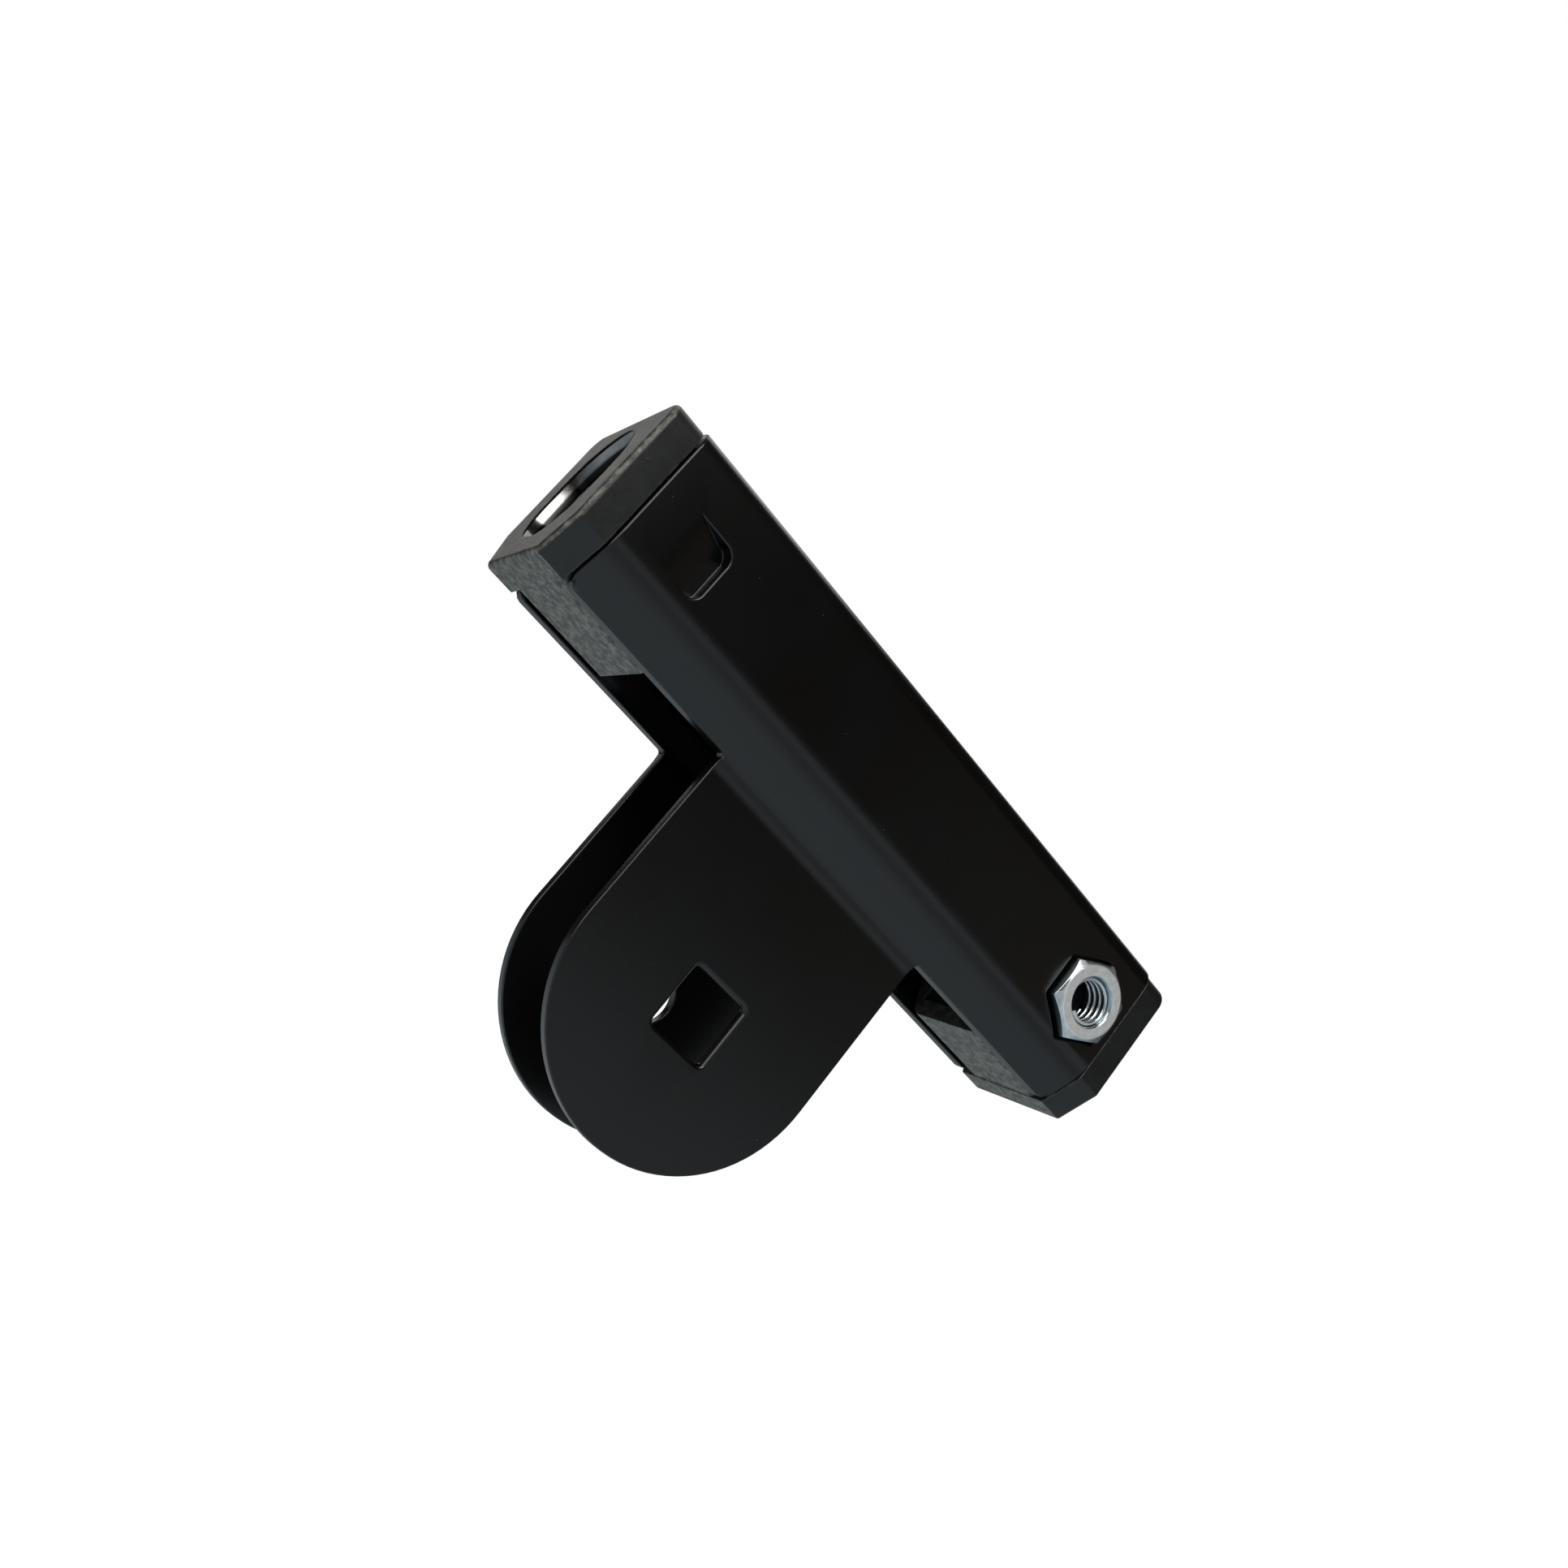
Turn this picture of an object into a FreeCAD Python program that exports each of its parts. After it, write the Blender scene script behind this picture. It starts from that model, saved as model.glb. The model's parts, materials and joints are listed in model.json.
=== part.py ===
import FreeCAD, Part
import math
import os
import re

import Sketcher

# Zip line trolley. Origin: the centreline of the cable, halfway along the trolley.
# +X runs along the cable, +Y across it, +Z up. Millimetres.

doc = FreeCAD.newDocument("zip_line_trolley")

# ---------------------------------------------------------------- driving sizes
SIZES = {
    # folded steel housing
    "body_length": 144.0,       # length of the folded channel
    "body_height": 35.8,        # closed fold down to the lower edge of the channel
    "top_width": 38.0,          # outside width of the upright walls
    "lobe_width": 25.8,         # outside width across the two hanging lobes
    "sheet": 2.5,               # sheet thickness
    "taper_height": 8.5,        # upright wall stops this far above the lower edge
    "lobe_bend_drop": 1.4,      # lobes turn upright this far below the lower edge
    "fold_radius": 2.0,         # inside radius of the two folds at the top
    "taper_reach": 3.3,         # walls start to curve inwards this far above the bend
    "lobe_bend_radius": 8.0,    # outside radius where the lobes turn upright again
    "lobe_radius": 29.3,        # round end of a lobe, also half its width
    "lobe_shift": -1.5,         # lobe centreline from mid-length
    "lobe_drop": 36.4,          # lower edge down to the centre of the lobe's round end
    "corner_radius": 2.4,       # lower corners of the walls
    "notch_radius": 0.8,        # inner corner between wall and lobe
    "bolt_square": 13.4,        # square hole for a carriage bolt's neck, in the -Y lobe
    "bolt_round": 12.6,         # round hole for its shank, in the +Y lobe
    # lock nut and pressed catch
    "nut_inset": 11.2,          # nut axis from the end of the channel
    "nut_drop": 16.6,           # closed fold down to the nut's axis
    "nut_flats": 16.0,          # across flats of the nut
    "nut_thick": 8.0,
    "nut_bore": 8.5,            # bore inside the thread crests
    "nut_stand": 2.5,           # nut face proud of the wall
    "nut_clear": 0.6,           # gap round the nut in the wall's hole
    "nut_seat_clear": 0.02,     # gap round the nut in the end cap's pocket
    "catch_inset": 12.4,        # middle of the catch from the end of the channel
    "catch_drop": 17.8,         # closed fold down to the middle of the catch
    "catch_long": 9.8,
    "catch_tall": 11.6,
    "catch_depth": 3.4,         # depth of the dent at its steep end
    "catch_wall": 1.3,          # sheet left round the dent after pressing
    "catch_corner": 2.5,        # round corners at the dent's steep end
    # end cap cartridge
    "cap_gap": 0.4,             # shadow gap between the cap's head and the channel
    "cap_head": 6.8,            # thickness of the head
    "cap_step": 0.6,            # head lies this far inside the housing's outline
    "cap_round": 1.2,           # rounded rim of the head
    "slide_clear": 0.3,         # end cap to housing, all round
    "insert_depth": 21.4,       # depth of the floor inside the channel
    "ear_depth": 33.5,          # depth of the cheeks that carry the axle
    "ear_rise": 3.0,            # underside of the cheeks' inner ends above the cable
    "floor_drop": 5.4,          # floor of the cable way below the cable
    "way_top": 21.9,            # roof of the cable way above the cable
    "way_depth": 15.0,          # roofed length of the cable way
    "foot_chamfer": 1.4,
    # oval guide ring
    "oval_width": 21.4,
    "oval_height": 27.0,
    "oval_rise": 8.8,           # centre of the oval above the cable
    "ring_wall": 1.2,
    "ring_length": 3.2,
    "ring_set": 0.2,            # ring's front edge behind the cap's face
    "ring_flare": 0.9,          # mouth of the ring opens by this much
    "ring_fit": 0.02,
    # grooved roller on two rows of balls
    "cable_diameter": 8.0,
    "groove_clear": 0.35,       # groove radius over cable radius
    "groove_wall": 0.8,         # bearing bore to the floor of the groove
    "flange_rise": 2.6,         # flanges stand this far over the groove's floor
    "roof_clear": 0.9,          # flanges to the inside of the closed fold
    "roller_width": 13.0,
    "axle_inset": 27.0,         # axle from the end of the channel
    "axle_radius": 4.0,
    "axle_fit": 0.02,
    "axle_chamfer": 0.5,
    "ball_radius": 1.4,
    "ball_clear": 0.1,
    "race_wall": 0.88,          # inner ring left under a ball's groove
    "shoulder_rise": 0.9,       # ball circle to the shoulder of either ring
    "row_gap": 1.4,             # cages from the middle of the roller
    "inner_proud": 0.3,         # inner ring longer than the roller, each side
    "cage_side": 0.2,           # cage left beside a ball's pocket
    "cage_wall": 1.3,
    "shield_lap": 0.6,          # shield's seat outside the bearing bore
    "shield_clear": 0.2,        # shield to the inner ring
    "shield_thick": 0.4,
    "shield_set": 0.2,
    "spacer_lap": 0.5,          # spacer over the inner ring's shoulder
    "spacer_thick": 3.8,
}
BALLS_IN_ROW = 10

sheet = doc.addObject("Spreadsheet::Sheet", "dims")
for row, (alias, value) in enumerate(SIZES.items(), start=1):
    sheet.set("A%d" % row, alias)
    sheet.set("B%d" % row, str(value))
    sheet.setAlias("B%d" % row, alias)
doc.recompute()

probe = doc.addObject("App::FeaturePython", "probe")
probe.addProperty("App::PropertyFloat", "Answer")


def bound(text):
    """The expression with each word that names a size pointed at the sheet."""
    return re.sub("[a-z_]+", lambda word: "dims." + word[0] if word[0] in SIZES else word[0], text)


def amount(text):
    """What the expression comes to at the present sizes."""
    probe.setExpression("Answer", bound(text))
    probe.recompute()
    return probe.Answer


def turned(text):
    """The expression with its sign changed."""
    return "0 - ( %s )" % text


def signed(end, text):
    """The expression as it stands at the front end, and with its sign changed at the rear end."""
    return text if end > 0 else turned(text)


# ---------------------------------------------------------------- shared places
BALL_CIRCLE = "( axle_radius + axle_fit + race_wall + ball_clear + ball_radius )"
INNER_SHOULDER = "( %s - shoulder_rise )" % BALL_CIRCLE
OUTER_SHOULDER = "( %s + shoulder_rise )" % BALL_CIRCLE
GROOVE_FLOOR = "( %s + groove_wall )" % OUTER_SHOULDER
GROOVE_SECTION = "( cable_diameter / 2 + groove_clear )"
ROLLER = "( %s + flange_rise )" % GROOVE_FLOOR       # outside of the roller's flanges
ROW = "( row_gap + cage_side + ball_clear + ball_radius )"
INNER_HALF = "( roller_width / 2 + inner_proud )"    # half length of the inner ring
WAY = "( roller_width / 2 + inner_proud + spacer_thick )"  # half the gap between the cheeks
AXLE_X = "( body_length / 2 - axle_inset )"
AXLE_Z = "( cable_diameter / 2 + %s )" % GROOVE_FLOOR
TOP = "( %s + %s + roof_clear + sheet )" % (AXLE_Z, ROLLER)  # outside of the closed fold
EDGE = "( %s - body_height )" % TOP                  # lower edge of the channel
END = "body_length / 2"                              # end of the channel
WALL = "top_width / 2"                               # outside of an upright wall
WALL_IN = "( top_width / 2 - sheet )"
LOBE = "lobe_width / 2"
LOBE_IN = "( lobe_width / 2 - sheet )"
BEND = "( %s + taper_height )" % EDGE
LOBE_BEND = "( %s - lobe_bend_drop )" % EDGE
LEAN = "( ( top_width - lobe_width ) / 2 / ( taper_height + lobe_bend_drop ) )"
# a sheet that turns by the lean has its inside corner this much higher than the outside one
LIFT = "( sheet * tan( atan( %s ) / 2 ) )" % LEAN
TAPER_OUT = "( taper_reach / tan( atan( %s ) / 2 ) )" % LEAN  # outside radius of the bend
TAPER_IN = "( %s - sheet )" % TAPER_OUT
FOOT_IN = "( %s - ( taper_height + %s ) * %s )" % (WALL_IN, LIFT, LEAN)
LOBE_Z = "( %s - lobe_drop )" % EDGE
LOBE_LOW = "( %s - lobe_radius )" % LOBE_Z
NUT_X = "( body_length / 2 - nut_inset )"
NUT_Z = "( %s - nut_drop )" % TOP
CATCH_X = "( body_length / 2 - catch_inset )"
CATCH_Z = "( %s - catch_drop )" % TOP
CATCH_SHALLOW = CATCH_X + " + catch_long / 2"
CATCH_DEEP = CATCH_X + " - catch_long / 2"
CATCH_FLOOR = "( %s - catch_depth - catch_wall )" % WALL
CHEEK = "( %s - slide_clear )" % WALL_IN             # outside of an end cap's cheek
HEAD_X = "( body_length / 2 + cap_gap )"             # back of the end cap's head
FACE_X = "( body_length / 2 + cap_gap + cap_head )"  # front of the end cap's head
HEAD_SIDE = "( %s - cap_step )" % WALL
HEAD_TOP = "( %s - cap_step )" % TOP
HEAD_BEND = "( %s + taper_height - cap_step )" % EDGE
HEAD_FOOT = "( %s - taper_height * %s - cap_step )" % (WALL, LEAN)
INSERT_TOP = "( %s - sheet - slide_clear )" % TOP
PLENTY = "10"                                        # run-out of a cut past the solid


# ---------------------------------------------------------------- sketching
def new_body(label):
    body = doc.addObject("PartDesign::Body", label)
    body.Label = label
    return body


def new_sketch(body, name, plane, offset="0"):
    """A sketch on one of the body's origin planes, moved along the plane's normal."""
    sketch = body.newObject("Sketcher::SketchObject", name)
    support = [item for item in body.Origin.OriginFeatures if item.Role == plane][0]
    sketch.AttachmentSupport = [(support, "")]
    sketch.MapMode = "FlatFace"
    sketch.setExpression("AttachmentOffset.Base.z", bound(offset))
    return sketch


def pin(sketch, geo, pos, across, up):
    """Hold a point at two signed distances from the sketch's origin."""
    for kind, text, axis in (("DistanceX", across, -2), ("DistanceY", up, -1)):
        size = amount(text)
        if abs(size) < 1e-9:
            sketch.addConstraint(Sketcher.Constraint("PointOnObject", geo, pos, axis))
        elif size < 0:
            number = sketch.addConstraint(Sketcher.Constraint(kind, geo, pos, -1, 1, -size))
            sketch.setExpression("Constraints[%d]" % number, bound(turned(text)))
        else:
            number = sketch.addConstraint(Sketcher.Constraint(kind, -1, 1, geo, pos, size))
            sketch.setExpression("Constraints[%d]" % number, bound(text))


def polygon(sketch, points):
    """A closed outline; each corner is two expressions."""
    spots = [FreeCAD.Vector(amount(x), amount(y), 0) for x, y in points]
    first = len(sketch.Geometry)
    for index, spot in enumerate(spots):
        following = spots[(index + 1) % len(spots)]
        sketch.addGeometry(Part.LineSegment(spot, following), False)
    for index in range(len(points)):
        before = first + (index - 1) % len(points)
        sketch.addConstraint(Sketcher.Constraint("Coincident", before, 2, first + index, 1))
        pin(sketch, first + index, 1, *points[index])


def mirrored(half):
    """A closed outline from its right half, drawn from the top down."""
    left = [(turned(x), y) for x, y in reversed(half)]
    return half + left


def circle(sketch, across, up, radius):
    centre = FreeCAD.Vector(amount(across), amount(up), 0)
    geo = sketch.addGeometry(Part.Circle(centre, FreeCAD.Vector(0, 0, 1), amount(radius)), False)
    pin(sketch, geo, 3, across, up)
    number = sketch.addConstraint(Sketcher.Constraint("Radius", geo, amount(radius)))
    sketch.setExpression("Constraints[%d]" % number, bound(radius))


def oval(sketch, grow):
    """An upright slot outline: the guide ring's bore, grown all round."""
    round_text = "( oval_width / 2 + %s )" % grow
    high = "( oval_rise + ( oval_height - oval_width ) / 2 )"
    low = "( oval_rise - ( oval_height - oval_width ) / 2 )"
    radius = amount(round_text)
    first = len(sketch.Geometry)
    axis = FreeCAD.Vector(0, 0, 1)
    for centre, begin in ((high, 0.0), (low, math.pi)):
        ring = Part.Circle(FreeCAD.Vector(0, amount(centre), 0), axis, radius)
        sketch.addGeometry(Part.ArcOfCircle(ring, begin, begin + math.pi), False)
    right = (FreeCAD.Vector(radius, amount(low), 0), FreeCAD.Vector(radius, amount(high), 0))
    left = (FreeCAD.Vector(-radius, amount(high), 0), FreeCAD.Vector(-radius, amount(low), 0))
    sketch.addGeometry(Part.LineSegment(*right), False)
    sketch.addGeometry(Part.LineSegment(*left), False)
    top, bottom, right_side, left_side = range(first, first + 4)
    pin(sketch, top, 3, "0", high)
    pin(sketch, bottom, 3, "0", low)
    for one, end, other, start in ((right_side, 2, top, 1), (top, 2, left_side, 1),
                                   (left_side, 2, bottom, 1), (bottom, 2, right_side, 1)):
        sketch.addConstraint(Sketcher.Constraint("Tangent", one, end, other, start))
    number = sketch.addConstraint(Sketcher.Constraint("Radius", top, radius))
    sketch.setExpression("Constraints[%d]" % number, bound(round_text))


def swept(body, kind, name, sketch, length=None, side="One side", backwards=False):
    """A Pad or Pocket; without a length it runs through everything."""
    feature = body.newObject("PartDesign::" + kind, name)
    feature.Profile = (sketch, [""])
    if length is None:
        feature.Type = "ThroughAll"
    else:
        feature.setExpression("Length", bound(length))
    feature.SideType = side
    feature.Reversed = backwards
    doc.recompute()
    return feature


def edges_where(feature, test):
    return ["Edge%d" % (index + 1) for index, edge in enumerate(feature.Shape.Edges) if test(edge)]


def rounded(body, name, feature, test, radius, kind="Fillet"):
    """Round or chamfer the edges of a feature that pass the test."""
    names = edges_where(feature, test)
    dressed = body.newObject("PartDesign::" + kind, name)
    dressed.Base = (feature, names)
    dressed.setExpression("Radius" if kind == "Fillet" else "Size", bound(radius))
    doc.recompute()
    return dressed


def near(one, other):
    return abs(one - other) < 0.01


# ---------------------------------------------------------------- plain solids
ALONG_Y = FreeCAD.Rotation(FreeCAD.Vector(1, 0, 0), -90)


def lathe(label, radius, length, across="0"):
    """A cylinder about the Y axis, centred on Y = across."""
    solid = doc.addObject("Part::Cylinder", label)
    solid.setExpression("Radius", bound(radius))
    solid.setExpression("Height", bound(length))
    solid.Placement = FreeCAD.Placement(FreeCAD.Vector(), ALONG_Y)
    solid.setExpression("Placement.Base.y", bound("%s - ( %s ) / 2" % (across, length)))
    return solid


def ring_race(label, radius, section, across):
    """A torus about the Y axis."""
    solid = doc.addObject("Part::Torus", label)
    solid.setExpression("Radius1", bound(radius))
    solid.setExpression("Radius2", bound(section))
    solid.Placement = FreeCAD.Placement(FreeCAD.Vector(), ALONG_Y)
    solid.setExpression("Placement.Base.y", bound(across))
    return solid


def minus(label, base, tools):
    """The base with every tool cut away."""
    if len(tools) == 1:
        tool = tools[0]
    else:
        tool = doc.addObject("Part::MultiFuse", label + "_tools")
        tool.Shapes = tools
    cut = doc.addObject("Part::Cut", label)
    cut.Base = base
    cut.Tool = tool
    return cut


def together(label, solids):
    group = doc.addObject("Part::Compound", label)
    group.Links = solids
    return group


def seat(solid, label, end, on_axle):
    """Give a finished piece its name and its place at one end of the trolley."""
    solid.Label = label
    if on_axle:
        solid.setExpression("Placement.Base.x", bound(signed(end, AXLE_X)))
        solid.setExpression("Placement.Base.z", bound(AXLE_Z))
    elif end < 0:
        half_turn = FreeCAD.Rotation(FreeCAD.Vector(0, 0, 1), 180)
        solid.Placement = FreeCAD.Placement(FreeCAD.Vector(), half_turn)
    return solid


# ---------------------------------------------------------------- housing
def housing():
    body = new_body("housing")
    fold = new_sketch(body, "fold_section", "YZ_Plane")
    outside = [(WALL, TOP), (WALL, BEND), (LOBE, LOBE_BEND), (LOBE, LOBE_LOW)]
    inside = [(LOBE_IN, LOBE_LOW), (LOBE_IN, LOBE_BEND + " + " + LIFT),
              (WALL_IN, BEND + " + " + LIFT), (WALL_IN, TOP + " - sheet")]
    polygon(fold, mirrored(outside + inside))
    channel = swept(body, "Pad", "channel", fold, "body_length", side="Symmetric")

    def along(edge, across, up):
        point = edge.CenterOfMass
        whole = near(edge.BoundBox.XLength, amount("body_length"))
        return whole and near(abs(point.y), amount(across)) and near(point.z, amount(up))

    bends = (
        ("fold_outside", WALL, TOP, "fold_radius + sheet"),
        ("fold_inside", WALL_IN, TOP + " - sheet", "fold_radius"),
        ("taper_outside", WALL, BEND, TAPER_OUT),
        ("taper_inside", WALL_IN, BEND + " + " + LIFT, TAPER_IN),
        ("lobe_outside", LOBE, LOBE_BEND, "lobe_bend_radius"),
        ("lobe_inside", LOBE_IN, LOBE_BEND + " + " + LIFT, "lobe_bend_radius + sheet"),
    )
    shape = channel
    for name, across, up, radius in bends:
        shape = rounded(body, name, shape, lambda edge: along(edge, across, up), radius)

    for side, sign in (("left", "-"), ("right", "+")):
        trim = new_sketch(body, "trim_%s_outline" % side, "XZ_Plane")
        lobe_trim(trim, sign)
        shape = swept(body, "Pocket", "trim_%s" % side, trim, side="Symmetric")

    for side, sign in (("left", "-"), ("right", "+")):
        root = "lobe_shift %s lobe_radius" % sign
        shape = rounded(body, "notch_" + side, shape, crossing(root, EDGE), "notch_radius")
        corner = "0 %s %s" % (sign, END)
        shape = rounded(body, "corner_" + side, shape, crossing(corner, EDGE), "corner_radius")

    square = new_sketch(body, "bolt_square_outline", "XZ_Plane")
    left = "lobe_shift - bolt_square / 2"
    right = "lobe_shift + bolt_square / 2"
    low = LOBE_Z + " - bolt_square / 2"
    high = LOBE_Z + " + bolt_square / 2"
    polygon(square, [(left, low), (right, low), (right, high), (left, high)])
    swept(body, "Pocket", "bolt_square", square, backwards=True)
    shank = new_sketch(body, "bolt_round_outline", "XZ_Plane")
    circle(shank, "lobe_shift", LOBE_Z, "bolt_round / 2")
    swept(body, "Pocket", "bolt_round", shank)

    for suffix, end in (("front", 1), ("rear", -1)):
        nut_hole = new_sketch(body, "nut_hole_outline_" + suffix, "XZ_Plane")
        polygon(nut_hole, hexagon(signed(end, NUT_X), NUT_Z, "( nut_flats / 2 + nut_clear )"))
        swept(body, "Pocket", "nut_hole_" + suffix, nut_hole, backwards=end > 0)
        catch(body, suffix, end)
    return body


def crossing(along_x, up):
    """A test for the edges that run straight across the sheet at one place."""
    def test(edge):
        across = near(edge.BoundBox.XLength, 0) and near(edge.BoundBox.ZLength, 0)
        point = edge.CenterOfMass
        return across and near(point.x, amount(along_x)) and near(point.z, amount(up))
    return test


def catch(body, suffix, end):
    """A ramp pressed into the wall: flush towards the end of the channel, deep on its inner side."""
    bump = new_sketch(body, "catch_bump_" + suffix, "XY_Plane", CATCH_Z)
    polygon(bump, catch_bump(end))
    swept(body, "Pad", "catch_back_" + suffix, bump, "catch_tall + 2 * catch_wall", side="Symmetric")
    dent = new_sketch(body, "catch_dent_" + suffix, "XY_Plane", CATCH_Z)
    polygon(dent, catch_dent(end))
    shape = swept(body, "Pocket", "catch_front_" + suffix, dent, "catch_tall", side="Symmetric")
    for name, sign in (("low", "-"), ("high", "+")):
        level = "%s %s catch_tall / 2" % (CATCH_Z, sign)
        shape = rounded(body, "catch_%s_%s" % (name, suffix), shape,
                        crossing(signed(end, CATCH_DEEP), level), "catch_corner")


def lobe_trim(sketch, sign):
    """What is cut from under one half of the channel to leave the round lobe."""
    side = "lobe_shift %s lobe_radius" % sign
    far = "0 %s ( body_length / 2 + %s )" % (sign, PLENTY)
    low = LOBE_LOW + " - " + PLENTY
    corners = [("lobe_shift", LOBE_LOW), ("lobe_shift", low), (far, low), (far, EDGE), (side, EDGE),
               (side, LOBE_Z)]
    spots = [FreeCAD.Vector(amount(x), amount(y), 0) for x, y in corners]
    for index in range(5):
        sketch.addGeometry(Part.LineSegment(spots[index], spots[index + 1]), False)
    centre = FreeCAD.Vector(amount("lobe_shift"), amount(LOBE_Z), 0)
    quarter = math.pi / 2
    ring = Part.Circle(centre, FreeCAD.Vector(0, 0, 1), amount("lobe_radius"))
    begin = 2 * quarter if sign == "-" else 3 * quarter
    sketch.addGeometry(Part.ArcOfCircle(ring, begin, begin + quarter), False)
    arc_side, arc_low = (1, 2) if sign == "-" else (2, 1)
    for index in range(4):
        sketch.addConstraint(Sketcher.Constraint("Coincident", index, 2, index + 1, 1))
    sketch.addConstraint(Sketcher.Constraint("Coincident", 4, 2, 5, arc_side))
    sketch.addConstraint(Sketcher.Constraint("Coincident", 5, arc_low, 0, 1))
    for index in range(1, 5):
        pin(sketch, index, 1, *corners[index])
    pin(sketch, 5, 3, "lobe_shift", LOBE_Z)
    pin(sketch, 5, arc_side, side, LOBE_Z)
    sketch.addConstraint(Sketcher.Constraint("Vertical", 0))


def hexagon(across, up, half_flats):
    """Six corners, one pointing straight up."""
    point = "%s * 2 / sqrt(3)" % half_flats
    shoulder = "%s / sqrt(3)" % half_flats
    right = "%s + %s" % (across, half_flats)
    left = "%s - %s" % (across, half_flats)
    return [(across, "%s + %s" % (up, point)), (left, "%s + %s" % (up, shoulder)),
            (left, "%s - %s" % (up, shoulder)), (across, "%s - %s" % (up, point)),
            (right, "%s - %s" % (up, shoulder)), (right, "%s + %s" % (up, shoulder))]


def both_signs(end, points):
    """Points drawn for the front end's +Y wall, half turned for the rear end."""
    if end > 0:
        return points
    return [(turned(x), turned(y)) for x, y in points]


def catch_dent(end):
    """The dent seen from above."""
    outside = WALL + " + sheet"
    return both_signs(end, [(CATCH_SHALLOW, WALL), (CATCH_SHALLOW, outside), (CATCH_DEEP, outside),
                            (CATCH_DEEP, WALL + " - catch_depth")])


def catch_bump(end):
    """The back of the dent, a wall's thickness behind it."""
    deep = CATCH_DEEP + " - catch_wall"
    root = WALL + " - sheet / 2"
    return both_signs(end, [(CATCH_SHALLOW, WALL_IN), (CATCH_SHALLOW, root), (deep, root),
                            (deep, CATCH_FLOOR)])


# ---------------------------------------------------------------- end caps
def lengthwise(across, up):
    """A test for the pair of edges along X at one place in the section."""
    def test(edge):
        point = edge.CenterOfMass
        return near(abs(point.y), amount(across)) and near(point.z, amount(up))
    return test


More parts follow.
